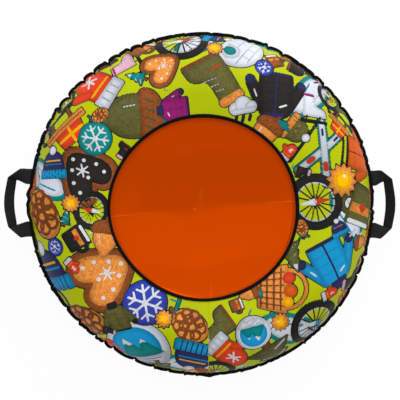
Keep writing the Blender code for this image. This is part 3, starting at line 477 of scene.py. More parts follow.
# Each motif fits a circle of radius 1: (ink, shape, its numbers). "+" before the ink: no outline round it.
MOTIFS = {
    "badge": [
        ("grey", "disc", 0, 0, 0.95), ("+sky", "disc", 0, 0.05, 0.74),
        ("+teal", "patch", [(-0.72, -0.36), (-0.2, 0.5), (0.1, 0.02), (0.3, 0.32), (0.74, -0.36)]),
        ("+white", "patch", [(-0.2, 0.5), (-0.36, 0.23), (-0.24, 0.3), (-0.16, 0.2), (-0.02, 0.22)]),
        ("+white", "patch", [(0.3, 0.32), (0.19, 0.15), (0.3, 0.2), (0.42, 0.14)]),
        ("+grey", "patch", [(-0.8, -0.36), (0.8, -0.36), (0.5, -0.78), (-0.5, -0.78)]),
        *bars("+ink", 0.05, (-0.5, -0.5, 0.5, -0.5), (-0.34, -0.62, 0.34, -0.62)),
    ],
    "fir": [
        ("brown", "patch", [(-0.12, -0.95), (0.12, -0.95), (0.1, -0.6), (-0.1, -0.6)]),
        ("teal", "patch", [
            (-0.62, -0.62), (0.62, -0.62), (0.22, -0.12), (0.42, -0.16), (0.14, 0.34), (0.28, 0.3),
            (0, 0.95), (-0.28, 0.3), (-0.14, 0.34), (-0.42, -0.16), (-0.22, -0.12)], 0.03),
        ("+grey", "patch", [(0, 0.93), (-0.2, 0.45), (-0.05, 0.5), (0.02, 0.4), (0.16, 0.5)]),
        ("+grey", "bar", -0.34, -0.12, -0.1, 0.06, 0.09), ("+grey", "bar", 0.1, -0.06, 0.34, -0.14, 0.07),
        ("+grey", "bar", -0.5, -0.56, -0.14, -0.42, 0.09), ("+ink", "bar", 0.1, -0.36, 0.44, -0.52, 0.05),
    ],
    "mitten": [
        ("red", "blob", [(-0.42, -0.75), (0.36, -0.75), (0.42, 0.4), (0.24, 0.84), (-0.22, 0.84),
                         (-0.46, 0.4)], 0.08),
        ("red", "bar", -0.4, -0.1, -0.72, 0.22, 0.34),
        ("grey", "patch", [(-0.5, -0.86), (0.44, -0.86), (0.44, -0.5), (-0.5, -0.5)], 0.05),
        *bars("+ink", 0.05, *[(x, -0.84, x, -0.54) for x in (-0.26, -0.02, 0.22)]),
        *bars("+white", 0.07, (-0.2, 0.1, 0.2, 0.5), (-0.2, 0.5, 0.2, 0.1), (0, 0.02, 0, 0.58)),
        ("+yellow", "bar", -0.4, -0.26, 0.38, -0.26, 0.09),
    ],
    "hat": [
        ("navy", "blob", [
            (-0.68, -0.6), (0.68, -0.6), (0.6, 0.3), (0.24, 0.62), (-0.24, 0.62), (-0.6, 0.3)], 0.06),
        ("sky", "patch", [(-0.76, -0.62), (0.76, -0.62), (0.74, -0.3), (-0.74, -0.3)], 0.07),
        ("grey", "disc", 0, 0.72, 0.24),
        ("+sky", "bar", -0.56, 0.02, 0.56, 0.02, 0.1), ("+yellow", "bar", -0.48, 0.2, 0.48, 0.2, 0.07),
        *bars("+navy", 0.045, *[(x, -0.66, x, -0.27) for x in np.arange(-3, 4) * 0.19]),
    ],
    "mug": [
        ("brown", "hoop", 0.55, -0.1, 0.26, 0.15),
        ("brown", "patch", [(-0.52, -0.72), (0.46, -0.72), (0.52, 0.4), (-0.58, 0.4)], 0.06),
        ("+tan", "patch", [(-0.5, -0.2), (0.5, -0.2), (0.52, 0.12), (-0.54, 0.12)]),
        ("+white", "bar", -0.46, 0.38, 0.42, 0.38, 0.16),
        *bars("+grey", 0.08, (-0.26, 0.62, -0.16, 0.86), (0.1, 0.6, 0.2, 0.84)),
        ("+red", "patch", [(-0.2, -0.1), (0, -0.3), (0.18, -0.1), (0, 0.06)]),
    ],
    "sun": [
        ("tan", "patch", star(12, 0.72)), ("yellow", "disc", 0, 0, 0.56),
        ("+tan", "hoop", 0, 0, 0.4, 0.07), ("+white", "disc", -0.18, 0.2, 0.1),
    ],
    "cone": [
        ("tan", "disc", 0, -0.1, 0.6, 1.35),
        *[("+brown", "hoop", x, y, 0.2, 0.09) for x, y in (
            (-0.3, 0.3), (0, 0.42), (0.3, 0.3), (-0.42, 0), (-0.14, 0.1), (0.16, 0.1), (0.42, 0),
            (-0.34, -0.3), (0, -0.2), (0.34, -0.3), (-0.16, -0.5), (0.18, -0.52))],
        ("brown", "bar", 0, 0.72, 0.06, 0.96, 0.13),
        *bars("teal", 0.12, (-0.1, 0.76, -0.5, 0.94), (0.14, 0.76, 0.56, 0.9)),
    ],
    "flake": [
        ("royal", "disc", 0, 0, 0.92), *spokes("+white", 0.09, 6, 0, 0.74),
        *spokes("+white", 0.08, 6, 0.44, 0.66, -0.4), *spokes("+white", 0.08, 6, 0.44, 0.66, 0.4),
    ],
    "compass": [
        ("coal", "hoop", 0, 0, 0.78, 0.24), ("+grey", "hoop", 0, 0, 0.62, 0.05),
        ("+coal", "disc", 0, 0, 0.14),
        *spokes("+coal", 0.05, 16, 0, 0.62), ("+red", "patch", [(0, 0.6), (0.12, 0), (-0.12, 0)]),
        ("+white", "patch", [(0, -0.6), (0.12, 0), (-0.12, 0)]), ("+grey", "disc", 0, 0, 0.07),
    ],
    "jacket": [
        *bars("sky", 0.34, (-0.42, 0.42, -0.82, -0.3), (0.42, 0.42, 0.82, -0.3)),
        ("sky", "blob", [
            (-0.5, -0.7), (-0.5, -0.7), (0.5, -0.7), (0.5, -0.7), (0.5, 0.56), (0.2, 0.7), (-0.2, 0.7),
            (-0.5, 0.56)], 0.06),
        ("navy", "patch", [(-0.26, 0.62), (0.26, 0.62), (0.2, 0.88), (-0.2, 0.88)], 0.05),
        ("+navy", "bar", 0, -0.74, 0, 0.6, 0.06), ("+navy", "bar", -0.5, -0.72, 0.5, -0.72, 0.11),
        *bars("+ink", 0.025, *[(-0.48, y, 0.48, y + 0.03) for y in (-0.4, -0.1, 0.2)]),
        ("+white", "bar", -0.36, 0.3, -0.16, 0.38, 0.06), ("+white", "bar", 0.62, 0.1, 0.72, -0.1, 0.05),
        ("navy", "disc", -0.87, -0.42, 0.15), ("navy", "disc", 0.87, -0.42, 0.15),
    ],
    "igloo": [
        ("grey", "blob", [
            (-0.92, -0.6), (-0.92, -0.6), (-0.9, -0.05), (-0.66, 0.4), (-0.2, 0.64), (0.2, 0.64),
            (0.64, 0.4), (0.88, -0.05), (0.9, -0.6), (0.9, -0.6)], 0.04),
        ("grey", "disc", 0.36, -0.3, 0.34), ("+teal", "disc", 0.36, -0.32, 0.22),
        *bars("+teal", 0.045, (-0.84, -0.2, 0, -0.2), (-0.72, 0.12, 0.7, 0.12), (-0.46, 0.4, 0.46, 0.4)),
        *bars("+teal", 0.045, *[(x, y, x, y + 0.26) for x, y in (
            (-0.5, -0.48), (-0.2, -0.48), (-0.64, -0.2), (-0.32, -0.2), (-0.48, 0.12), (-0.1, 0.12),
            (0.3, 0.12))]),
        ("white", "bar", -0.96, -0.6, 0.96, -0.6, 0.16),
    ],
    "biscuit": [
        ("brown", "blob", [(0, -1.1), (0.74, -0.16), (0.9, 0.4), (0.6, 0.82), (0.18, 0.78), (0, 0.34),
                           (-0.18, 0.78), (-0.6, 0.82), (-0.9, 0.4), (-0.74, -0.16)], 0.09),
        ("+tan", "blob", [(0, -0.92), (0.62, -0.1), (0.74, 0.36), (0.5, 0.68), (0.22, 0.62), (0, 0.2),
                          (-0.22, 0.62), (-0.5, 0.68), (-0.74, 0.36), (-0.62, -0.1)], 0.05),
        *[("+white", "disc", x, y, 0.06) for x, y in (
            (0, -0.6), (0.24, -0.36), (-0.24, -0.36), (0.46, -0.02), (-0.46, -0.02), (0.5, 0.34),
            (-0.5, 0.34), (0, 0.14))],
        *bars("+white", 0.05, (-0.2, -0.14, 0.2, -0.14), (-0.1, -0.313, 0.1, 0.033),
              (0.1, -0.313, -0.1, 0.033)),
    ],
    "acorn": [
        ("tan", "blob", [(-0.52, 0.42), (0.52, 0.42), (0.54, -0.3), (0.26, -0.66), (0, -1.04), (-0.26, -0.66),
                         (-0.54, -0.3)], 0.06),
        ("brown", "blob", [(-0.7, 0.14), (0, 0.22), (0.7, 0.14), (0.62, 0.54), (0.2, 0.74), (-0.2, 0.74),
                           (-0.62, 0.54)], 0.06),
        ("brown", "bar", 0, 0.66, 0.1, 0.94, 0.14),
        ("teal", "patch", [(0.1, 0.8), (0.5, 0.96), (0.86, 0.7), (0.5, 0.62)], 0.03),
        *bars("+tan", 0.05, *[(x, 0.3, x + 0.12, 0.54) for x in (-0.44, -0.2, 0.04, 0.28)]),
        ("+white", "bar", -0.3, 0.04, -0.26, -0.3, 0.06),
    ],
    "basket": [
        ("tan", "hoop", 0, 0.12, 0.62, 0.12),
        ("tan", "patch", [(-0.74, 0.06), (0.74, 0.06), (0.56, -0.78), (-0.56, -0.78)], 0.06),
        *bars("+brown", 0.06, *[(-x, y, x, y) for x, y in (
            (0.68, -0.1), (0.65, -0.32), (0.62, -0.54), (0.59, -0.74))]),
        *bars("+brown", 0.05, *[(x, 0.02, x * 0.8, -0.78) for x in (-0.56, -0.34, -0.12, 0.12, 0.34, 0.56)]),
        ("red", "disc", -0.36, 0.16, 0.2), ("orange", "disc", 0.06, 0.22, 0.22),
        ("yellow", "disc", 0.42, 0.14, 0.18),
    ],
    "boots": [
        ("coal", "blob", [
            (-0.66, 0.66), (-0.66, 0.66), (-0.14, 0.66), (-0.14, 0.66), (-0.1, -0.14), (0.34, -0.22),
            (0.38, -0.62), (0.38, -0.62), (-0.66, -0.62), (-0.66, -0.62)], 0.06),
        ("lilac", "bar", -0.62, 0.66, -0.16, 0.66, 0.26), ("+brown", "bar", -0.7, -0.68, 0.4, -0.68, 0.12),
        *bars("+grey", 0.05, (-0.34, 0.34, -0.1, 0.3), (-0.32, 0.16, -0.06, 0.12),
              (-0.3, -0.02, 0.02, -0.08)),
        ("+red", "bar", -0.6, -0.3, -0.3, -0.3, 0.08),
    ],
    "skis": [
        *[(ink, "bar", sign * -0.5, -0.86, sign * 0.4, 0.86, wide) for sign in (1, -1)
          for ink, wide in (("teal", 0.3), ("+grey", 0.2))],
        *bars("+red", 0.17, (-0.3, -0.46, -0.22, -0.32), (0.3, -0.46, 0.22, -0.32)),
        *bars("+navy", 0.08, (0.22, 0.5, 0.3, 0.66), (-0.22, 0.5, -0.3, 0.66)),
        *bars("coal", 0.05, (-0.86, -0.7, -0.56, 0.7), (0.86, -0.7, 0.56, 0.7)),
    ],
    "skate": [
        ("lilac", "blob", [(-0.5, 0.8), (-0.5, 0.8), (0.02, 0.8), (0.02, 0.8), (0.08, 0.06), (0.72, -0.06),
                           (0.78, -0.44), (0.78, -0.44), (-0.52, -0.44), (-0.52, -0.44)], 0.06),
        ("+purple", "bar", -0.5, 0.74, 0.02, 0.74, 0.16),
        *bars("+white", 0.06, (-0.1, 0.5, 0.12, 0.46), (-0.08, 0.3, 0.16, 0.26), (-0.04, 0.1, 0.22, 0.06)),
        ("coal", "bar", -0.6, -0.76, 0.82, -0.76, 0.11),
        *bars("+coal", 0.1, (-0.34, -0.74, -0.34, -0.46), (0.44, -0.74, 0.44, -0.46)),
    ],
    "scarf": [
        ("purple", "hoop", 0, 0.26, 0.5, 0.3),
        ("purple", "patch", [(0.1, -0.1), (0.4, -0.16), (0.58, -0.86), (0.2, -0.9)], 0.03),
        ("purple", "patch", [(-0.02, -0.1), (-0.3, -0.08), (-0.52, -0.7), (-0.2, -0.82)], 0.03),
        *bars("+yellow", 0.09, (0.2, -0.44, 0.5, -0.4), (0.2, -0.66, 0.54, -0.62),
              (-0.42, -0.44, -0.14, -0.5), (-0.36, 0.56, -0.2, 0.74), (0.36, 0.56, 0.2, 0.74),
              (-0.6, 0.2, -0.38, 0.22), (0.6, 0.2, 0.38, 0.22)),
    ],
    "cloud": [
        ("grey", "disc", -0.4, -0.05, 0.36), ("grey", "disc", 0.05, 0.14, 0.46),
        ("grey", "disc", 0.5, -0.05, 0.33),
        ("grey", "bar", -0.5, -0.22, 0.58, -0.22, 0.34),
        *bars("navy", 0.08, *[(x, -0.54, x - 0.1, -0.8) for x in (-0.4, 0, 0.4)]),
    ],
    "sledge": [
        ("coal", "bar", -0.8, -0.5, 0.7, -0.5, 0.1), ("coal", "hoop", 0.7, -0.28, 0.22, 0.1),
        *bars("brown", 0.11, (-0.45, -0.48, -0.45, -0.1), (0.3, -0.48, 0.3, -0.1)),
        ("tan", "patch", [(-0.84, -0.1), (0.72, -0.1), (0.66, 0.1), (-0.84, 0.1)], 0.03),
        ("+brown", "bar", -0.8, 0, 0.66, 0, 0.05),
        ("red", "patch", [(-0.6, 0.16), (0.3, 0.16), (0.24, 0.56), (-0.5, 0.6)], 0.05),
        *bars("+yellow", 0.09, (-0.18, 0.14, -0.16, 0.6), (-0.58, 0.36, 0.28, 0.36)),
    ],
}
POND = [   # a frozen pond, under the rest
    ("teal", "disc", 0, 0, 0.84, 0.46), ("+grey", "disc", 0, 0, 0.72, 0.40),
    ("+sky", "bar", -0.5, 0.06, 0.1, 0.2, 0.04), ("+teal", "bar", -0.2, -0.16, 0.56, -0.06, 0.03),
    ("+navy", "bar", 0.3, 0.14, 0.66, 0.02, 0.05),
]
SMALL = {
    "spark": [("+yellow", "patch", star(5, 0.45))],
    "drop": [("+teal", "bar", -0.7, 0, 0.7, 0, 0.4)],
    "dot": [("+white", "disc", 0, 0, 0.8), ("+sky", "disc", 0, 0, 0.5)],
    "zigzag": bars("+royal", 0.22, (-0.9, -0.3, -0.3, 0.3), (-0.3, 0.3, 0.3, -0.3), (0.3, -0.3, 0.9, 0.3)),
    "cross": bars("+red", 0.3, (-0.6, -0.6, 0.6, 0.6), (-0.6, 0.6, 0.6, -0.6)),
}
OUTLINE = 2.7 * MM
UNDER = 1.2 * MM   # a shape covers this much less of what is under it, so that no lime shows between
print("motifs", len(MOTIFS), "small ones", len(SMALL), "inks", len(PRINT))

# %% [markdown]
# ## Print layout
#
# The real cloth is printed by the metre, with large motifs, smaller ones between them and sparks and dots
# in what is left, and the ring is cut out of it. So the motifs are thrown down here at random, the largest
# first, each clear of the ones before it, and some are cut through at the radial seam.


# %% Print layout
def paint(ink, mask, distance):
    """Prints a shape: its own ink takes the smaller distance, and every other ink is cleared there."""
    for key, values in field.items():
        if key == ink:
            values[mask] = np.minimum(values[mask], distance)
        else:
            values[mask] = np.maximum(values[mask], -(distance + UNDER))


def stamp(shapes, at_angle, at_radius, size, turn):
    """Prints a motif with its middle here on the flat cloth, and only on its own side of the radial seam."""
    centre = np.array((at_radius * math.cos(at_angle), at_radius * math.sin(at_angle)))
    unwrapped = (ring_angle - SEAM_ANGLE) % math.tau
    mask = np.linalg.norm(flat_xy - centre, axis=1) < 1.3 * size
    mask &= np.abs(unwrapped - (at_angle - SEAM_ANGLE) % math.tau) < math.pi
    if not mask.any():
        return
    away = flat_xy[mask] - centre
    cos, sin = math.cos(turn), math.sin(turn)
    local = np.stack([away[:, 0] * cos + away[:, 1] * sin, away[:, 1] * cos - away[:, 0] * sin], 1) / size
    parts = [(ink, SHAPES[shape](local, *numbers) * size) for ink, shape, *numbers in shapes]
    for ink, distance in parts:
        if not ink.startswith("+"):
            paint("ink", mask, distance - OUTLINE)
    for ink, distance in parts:
        ink = ink.lstrip("+")
        paint(ink, mask, distance)
        brush[mask] = np.where(distance < 0, BRUSHED.get(ink, PLAIN), brush[mask])
        # Each shape is lighter in its middle and towards its upper left
        lit = 0.9 * smoothstep(-distance, 0, 0.2 * size) + 0.35 * local[:, 1] - 0.3 * local[:, 0] - 0.45
        tone[mask] = np.where(distance < 0, lit, tone[mask])


def recoloured(shapes, pairs):
    """The shapes in other inks, where a pair says (from, to)."""
    other = dict(pairs)
    return [("+" * ink.startswith("+") + other.get(ink.lstrip("+"), ink.lstrip("+")), *rest)
            for ink, *rest in shapes]


layout = np.random.default_rng(23)
placed = []
DRAWN = 0.95          # a motif's size against the room that it takes, so that lime shows between
ALIKE = 260 * MM      # two of a kind stay this far apart


def throw(kinds, order, reach, apart, sizes, tries=600):
    """Places motifs in this order at random, each clear of the others, and like ones well apart.

    reach is the nearest and furthest distance from the ring's middle, and apart is how much of their two
    sizes stays between two motifs.
    """
    done = 0
    for name, *pairs in order:
        shapes = recoloured(kinds[name], pairs)
        for _ in range(tries):
            size = layout.uniform(*sizes)
            radius = math.sqrt(layout.uniform(reach[0] ** 2, reach[1] ** 2))
            turn_at = layout.uniform(0, math.tau)
            spot = (radius * math.cos(turn_at), radius * math.sin(turn_at))
            if all(math.dist(spot, other) > (
                    apart * (size + room) if name != kind else max(ALIKE, size + room))
                   for other, room, kind in placed):
                placed.append((spot, size, name))
                stamp(shapes, turn_at, radius, DRAWN * size, layout.uniform(0, math.tau))
                done += 1
                break
    return done


ponds = throw({"a": POND, "b": POND}, [("a",), ("b",)] * 3, (0.280, 0.480), 0.9, (110 * MM, 130 * MM))
placed.clear()   # the rest may lie on the ponds
# Motifs cut through at the radial seam: kind, radians beside the seam, distance from the middle, size and
# turn
for name, beside, radius, size, turn_by, *pairs in (
        ("boots", 0.05, 0.296, 60 * MM, 2.2, ("coal", "olive")),
        ("mitten", 0.13, 0.385, 66 * MM, 4.0),
        ("compass", 0.04, 0.462, 62 * MM, 1.0),
        ("cone", -0.17, 0.300, 62 * MM, 0.9),
        ("hat", -0.10, 0.395, 72 * MM, 2.9),
        ("acorn", -0.07, 0.478, 52 * MM, 5.1)):
    at = SEAM_ANGLE + beside
    placed.append(((radius * math.cos(at), radius * math.sin(at)), size, name))
    stamp(recoloured(MOTIFS[name], pairs), at, radius, size, turn_by)
big = throw(MOTIFS, [
    ("biscuit",), ("jacket",), ("cone",), ("compass",), ("mug", ("brown", "olive")), ("boots",), ("basket",),
    ("skis",), ("jacket", ("sky", "coal")), ("acorn", ("tan", "olive")), ("sledge",),
    ("compass", ("red", "sky")), ("igloo",), ("cone",), ("badge",),
    ("boots", ("coal", "olive"), ("lilac", "tan")),
    ("biscuit", ("tan", "coal")), ("mitten",), ("hat",), ("compass",),
    ("jacket", ("sky", "orange"), ("navy", "coal")), ("fir", ("teal", "olive")),
], (0.268, 0.466), 0.76, (82 * MM, 102 * MM), tries=5000)
middling = throw(MOTIFS, [
    ("fir", ("teal", "olive")), ("compass",), ("scarf",), ("boots",), ("skate",), ("mug", ("brown", "coal")),
    ("flake",), ("cone",), ("mitten", ("red", "orange")), ("compass",),
    ("hat", ("navy", "olive"), ("sky", "tan")),
    ("badge",), ("boots", ("coal", "olive")), ("biscuit",), ("fir",), ("sun",), ("cloud",), ("acorn",),
    ("compass",), ("hat",), ("jacket", ("sky", "olive"), ("navy", "coal")), ("sledge",),
    ("scarf", ("purple", "olive")), ("mug",), ("cone",), ("flake", ("royal", "teal")),
    ("skate", ("lilac", "grey")), ("boots",), ("mitten",), ("compass",), ("basket",),
    ("jacket", ("sky", "purple")), ("fir", ("teal", "olive")), ("boots",), ("acorn",), ("compass",), ("hat",),
    ("cone",),
], (0.250, 0.505), 0.66, (46 * MM, 66 * MM), tries=5000)
tiny = throw(MOTIFS, [(name,) for name in (
    "boots", "compass", "acorn", "fir", "hat", "compass", "cone", "mitten", "boots", "sun", "mug",
    "flake") * 4],
    (0.245, 0.512), 0.68, (25 * MM, 37 * MM), tries=2500)
little = throw({f"{name}{k}": SMALL[name] for name in SMALL for k in range(9)},
               [(f"{name}{k}",) for k in range(9) for name in SMALL], (0.245, 0.515), 0.90, (9 * MM, 17 * MM))
covered = np.min(list(field.values()), axis=0)[:OUTER_ROWS * COLUMNS] < 0
print("placed", ponds, big, middling, tiny, little, "covering", round(float(covered.mean()), 2))

# %% [markdown]
# ## Printed cloth
#
# Dye on coated polyester: flat lime with a slow unevenness, inks with sharp edges, brush marks and soft
# shading inside the motifs, and hardly any gloss. The inks' distances turn into colours in the shader, one
# ink over the other.

# %% Printed cloth
EDGE = 0.35 * MM   # half the width of the print's edges
# A matt cloth that shows its colours from every side
print_look, tree, shader = material("printed_polyester", roughness=0.5, Specular_IOR_Level=0.08)
# Lime with a slow unevenness, as dye has
cloth_uv = add(tree, "ShaderNodeUVMap", uv_map="cloth").outputs["UV"]
dye = add(tree, "ShaderNodeTexNoise", {"Vector": cloth_uv, "Scale": 9.0, "Detail": 2.0})
colour = add(tree, "ShaderNodeMix", {0: dye.outputs["Fac"], 6: linear("ACBA00"), 7: linear("C8D400")},
             data_type="RGBA").outputs[2]
for key, code in PRINT.items():
    distance = add(tree, "ShaderNodeAttribute", attribute_name=f"print_{key}").outputs["Fac"]
    inside = add(tree, "ShaderNodeMapRange", {"Value": distance, "From Min": EDGE, "From Max": -EDGE})
    colour = add(tree, "ShaderNodeMix", {0: inside.outputs[0], 6: colour, 7: linear(code)},
                 data_type="RGBA").outputs[2]
# Airbrushed light and shade inside the motifs
shade = add(tree, "ShaderNodeAttribute", attribute_name="print_tone").outputs["Fac"]
gain = add(tree, "ShaderNodeMapRange", {
    "Value": shade, "From Min": -1.0, "From Max": 1.0, "To Min": 0.5, "To Max": 1.35})
colour = add(tree, "ShaderNodeVectorMath", {0: colour, "Scale": gain.outputs[0]},
             operation="SCALE").outputs[0]
# Brush marks 6 to 10 mm long, only where there is a motif
marks = add(tree, "ShaderNodeTexNoise", {
    "Vector": cloth_uv, "Scale": 130.0, "Detail": 3.0, "Roughness": 0.65, "Distortion": 1.5})
strong = add(tree, "ShaderNodeMapRange", {
    "Value": marks.outputs["Fac"], "From Min": 0.35, "From Max": 0.65, "To Min": 0.66, "To Max": 1.25})
drawn = add(tree, "ShaderNodeAttribute", attribute_name="print_brush").outputs["Fac"]
brushed = add(tree, "ShaderNodeMix", {0: drawn, 2: 1.0, 3: strong.outputs[0]}, data_type="FLOAT")
colour = add(tree, "ShaderNodeVectorMath", {0: colour, "Scale": brushed.outputs[0]},
             operation="SCALE").outputs[0]
tree.links.new(colour, shader.inputs["Base Color"])
# The weave, drawn three times as coarse as the real 0.3 mm so that it doesn't alias
relief(tree, shader, cloth_uv, "ShaderNodeTexNoise", 900.0, 0.15, 0.2 * MM, {"Detail": 1.0})

printed_ring = mesh_object(
    "printed_ring", ring_points, ring_faces, print_look, uv=flat_xy,
    values={**{f"print_{key}": values for key, values in field.items()},
            "print_tone": tone, "print_brush": brush})
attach(printed_ring, "tube_and_cover")
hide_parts("top_ring")

# %% [markdown]
# ## Seat
#
# One disc of satin PVC-coated cloth, orange, stretched over the hole. It was folded in four for its box, so
# one shallow fold crosses it, a little tilted and softened in the middle, a fainter one runs up from the
# middle, and it sags under its own weight.

# %% Seat cloth
SEAT_COLUMNS, SEAT_ROWS, BACK_ROWS = 240, 64, 12
SEAT_SAG = 12 * MM
FOLD_TURN = math.radians(4.2)      # the fold climbs from left to right
FOLD_SLOPE, FOLD_DEPTH = 0.045, 6 * MM
seat_turn = np.arange(SEAT_COLUMNS) * math.tau / SEAT_COLUMNS


def seat_height(x, y):
    """The seat's upper face: a dish with a valley fold across it."""
    r = np.hypot(x, y) / SEAT_RADIUS
    along = x * math.cos(FOLD_TURN) + y * math.sin(FOLD_TURN)
    across = y * math.cos(FOLD_TURN) - x * math.sin(FOLD_TURN)
    soft = 2.2 * MM + 16 * MM * hill(along, 0, 70 * MM)
    flatter = 1.2 * smoothstep(-along, 130 * MM, 190 * MM) * (across > 0)   # at the far left above the fold
    bent = across + 13 * MM * hill(along, -48 * MM, 46 * MM)   # beside the crossing it runs lower
    fold = (np.hypot(bent, soft) - soft) * FOLD_SLOPE * (1 - flatter)
    fold = np.minimum(fold, FOLD_DEPTH) - FOLD_DEPTH
    # Where the two folds cross, the cloth is dented a little
    fold -= 0.7 * MM * hill(along, -8 * MM, 10 * MM) * hill(across, 14 * MM, 34 * MM)
    lip = 2.6 * MM * (1 - (np.clip(r - 0.93, 0, 0.07) / 0.07) ** 2)   # it turns up where it is sewn
    return SEAT_Z - SEAT_SAG * (1 - r ** 2) - lip + fold * (1 - r ** 6)


def seat_rows(radii, inside):
    """Rings of points on the seat, at these distances from its middle."""
    rows = []
    wider = 1 + seat_out(seat_turn) / SEAT_RADIUS
    for r in radii:
        x, y = r * np.cos(seat_turn), r * np.sin(seat_turn)
        rows.append(np.stack([x * wider, y * wider, seat_height(x, y) - inside], 1))
    return rows


seat_edge = SEAT_RADIUS + 0.2 * MM
upper = np.linspace(0, 1, SEAT_ROWS + 1)[1:] * seat_edge
lower = np.linspace(0, 1, BACK_ROWS + 1)[1:] * seat_edge
seat_points = np.concatenate([
    *seat_rows(upper, 0), *seat_rows(lower[::-1], CLOTH),
    [[0, 0, seat_height(0, 0)], [0, 0, seat_height(0, 0) - CLOTH]]])
rows = SEAT_ROWS + BACK_ROWS
column = np.arange(SEAT_COLUMNS)
after = (column + 1) % SEAT_COLUMNS
middles = np.full(SEAT_COLUMNS, rows * SEAT_COLUMNS)
last_row = (rows - 1) * SEAT_COLUMNS
fans = np.concatenate([   # triangles round the middle of each side
    np.stack([middles, after, column], 1), np.stack([middles + 1, last_row + column, last_row + after], 1)])
seat_faces = outward(seat_points, grid_faces(rows, SEAT_COLUMNS), fans)

# Satin weave under a clear coating: its gloss has the dyed yarn's own orange, so it is a fifth metallic
# The second orange is the colour of the painted highlights along the seat's creases
SEAT_ORANGE, HIGHLIGHT_ORANGE = linear("BF4000"), linear("F08228")
seat_look, tree, shader = material(
    "seat_satin_pvc", roughness=0.27, Metallic=0.22, Specular_IOR_Level=0.0, Specular_Tint=(1, 0.24, 0, 1))
uv = add(tree, "ShaderNodeUVMap", uv_map="cloth").outputs["UV"]
# Both ends stay above 0.274, where the picture's noise filter takes a gloss for a mirror and leaves faint
# lines
uneven(tree, shader, uv, 9.0, 1.0, 0.276, 0.296)


def crease(turn, offset, width, from_middle, to_middle):
    """1 on a thin line across the seat's cloth, fading out towards the middle."""
    turned = add(tree, "ShaderNodeVectorRotate", {"Vector": uv, "Angle": -turn}, rotation_type="Z_AXIS")
    parts = add(tree, "ShaderNodeSeparateXYZ", {0: turned.outputs[0]}).outputs
    aside = add(tree, "ShaderNodeMath", {0: parts["Y"], 1: offset}, operation="SUBTRACT").outputs[0]
    aside = add(tree, "ShaderNodeMath", {0: aside}, operation="ABSOLUTE").outputs[0]
    near = add(tree, "ShaderNodeMapRange", {"Value": aside, "From Min": width, "From Max": 0.0}).outputs[0]
    outer = add(tree, "ShaderNodeMapRange", {
        "Value": parts["X"], "From Min": to_middle, "From Max": from_middle},
                interpolation_type="SMOOTHSTEP").outputs[0]
    return add(tree, "ShaderNodeMath", {0: near, 1: outer}, operation="MULTIPLY").outputs[0]


def highlight_spot(spot, size):
    """1 at a spot on the seat's cloth, fading out to nothing at an ellipse round it."""
    away = add(tree, "ShaderNodeVectorMath", {0: uv, 1: (*spot, 0)}, operation="SUBTRACT").outputs[0]
    away = add(tree, "ShaderNodeVectorMath", {0: away, 1: (*size, 1)}, operation="DIVIDE").outputs[0]
    away = add(tree, "ShaderNodeVectorMath", {0: away}, operation="LENGTH").outputs["Value"]
    return add(tree, "ShaderNodeMapRange", {"Value": away, "From Min": 1.0, "From Max": 0.0},
               interpolation_type="SMOOTHSTEP").outputs[0]


# Sharp creases where it was folded in four, with painted highlights along them, strongest at their ends,
# and painted highlights where they cross and just above that.
highlight = [
    (0.4, crease(FOLD_TURN, -1 * MM, 2.2 * MM, 170 * MM, 150 * MM)),
    (1.0, crease(FOLD_TURN, -1 * MM, 2.2 * MM, 212 * MM, 200 * MM)),
    (0.4, crease(FOLD_TURN, -4 * MM, 1.6 * MM, -170 * MM, -90 * MM)),
    (1.0, crease(FOLD_TURN, -4 * MM, 1.6 * MM, -196 * MM, -180 * MM)),
    (0.8, crease(math.radians(-90), 18 * MM, 2.0 * MM, 215 * MM, 180 * MM)),
    (0.7, highlight_spot((-22 * MM, -5 * MM), (7 * MM, 4 * MM))),
    (0.3, highlight_spot((-7 * MM, 30 * MM), (9 * MM, 30 * MM))),
]
crease_highlight = 0
for weight, mark in highlight:
    mark = add(tree, "ShaderNodeMath", {0: mark, 1: weight}, operation="MULTIPLY").outputs[0]
    crease_highlight = add(tree, "ShaderNodeMath", {0: mark, 1: crease_highlight}, operation="MAXIMUM").outputs[0]
share = add(tree, "ShaderNodeMath", {0: crease_highlight, 1: 0.30}, operation="MULTIPLY").outputs[0]
# The seat's orange, lightened towards a pale orange where the highlights are painted
orange_with_highlights = add(tree, "ShaderNodeMix", {0: share, 6: SEAT_ORANGE, 7: HIGHLIGHT_ORANGE}, data_type="RGBA").outputs[2]
tree.links.new(orange_with_highlights, shader.inputs["Base Color"])
# The same painted-highlight lines also give the creases a little relief
bump = add(tree, "ShaderNodeBump", {"Height": crease_highlight, "Strength": 0.5, "Distance": 0.8 * MM})
tree.links.new(bump.outputs[0], shader.inputs["Normal"])

seat_cloth = mesh_object("seat_cloth", seat_points, seat_faces, seat_look, uv=seat_points[:, :2])
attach(seat_cloth, "tube_and_cover")
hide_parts("seat_panel")
print("seat", len(seat_points), "points, worn marks", len(highlight))

# %% [markdown]
# ## Underside
#
# Heavier black tarpaulin with the same tucks at the rim. It is drawn up off the snow in the middle, where the
# zip closes a long slit that the inner tube goes in through.

# %% Underside cloth
under_stops = from_edge(bottom.length, (44, 18))


def middle_rows(shares, inside):
    """Rings from the slit's edge out to where the tube begins, on the raised middle."""
    cos, sin = np.cos(angle), np.sin(angle)
    edge = np.stack([SLIT[0] * np.clip(cos * 1.02, -1, 1), SLIT[1] * np.clip(sin / 0.16, -1, 1)], 1)
    rim = MIDDLE_RADIUS * np.stack([cos, sin], 1)
    return [np.column_stack([edge + (rim - edge) * s, np.full(COLUMNS, MIDDLE_Z + inside)]) for s in shares]


# The second ring lies close to the slit's edge, so that the edge stays sharp
shares = np.array([0, 0.004, *np.linspace(0, 1, 14)[1:-1]])
# Out along the snow side, and back along the inside with a third or a quarter of the rings
under_rows = middle_rows(shares, 0) + [bottom.row(at) for at in under_stops]
under_rows += [bottom.row(at, TARPAULIN) for at in under_stops[::-4]] + middle_rows(shares[::-3], TARPAULIN)
under_points = np.concatenate(under_rows)
under_faces = outward(under_points, grid_faces(len(under_rows), COLUMNS, close_rows=True))
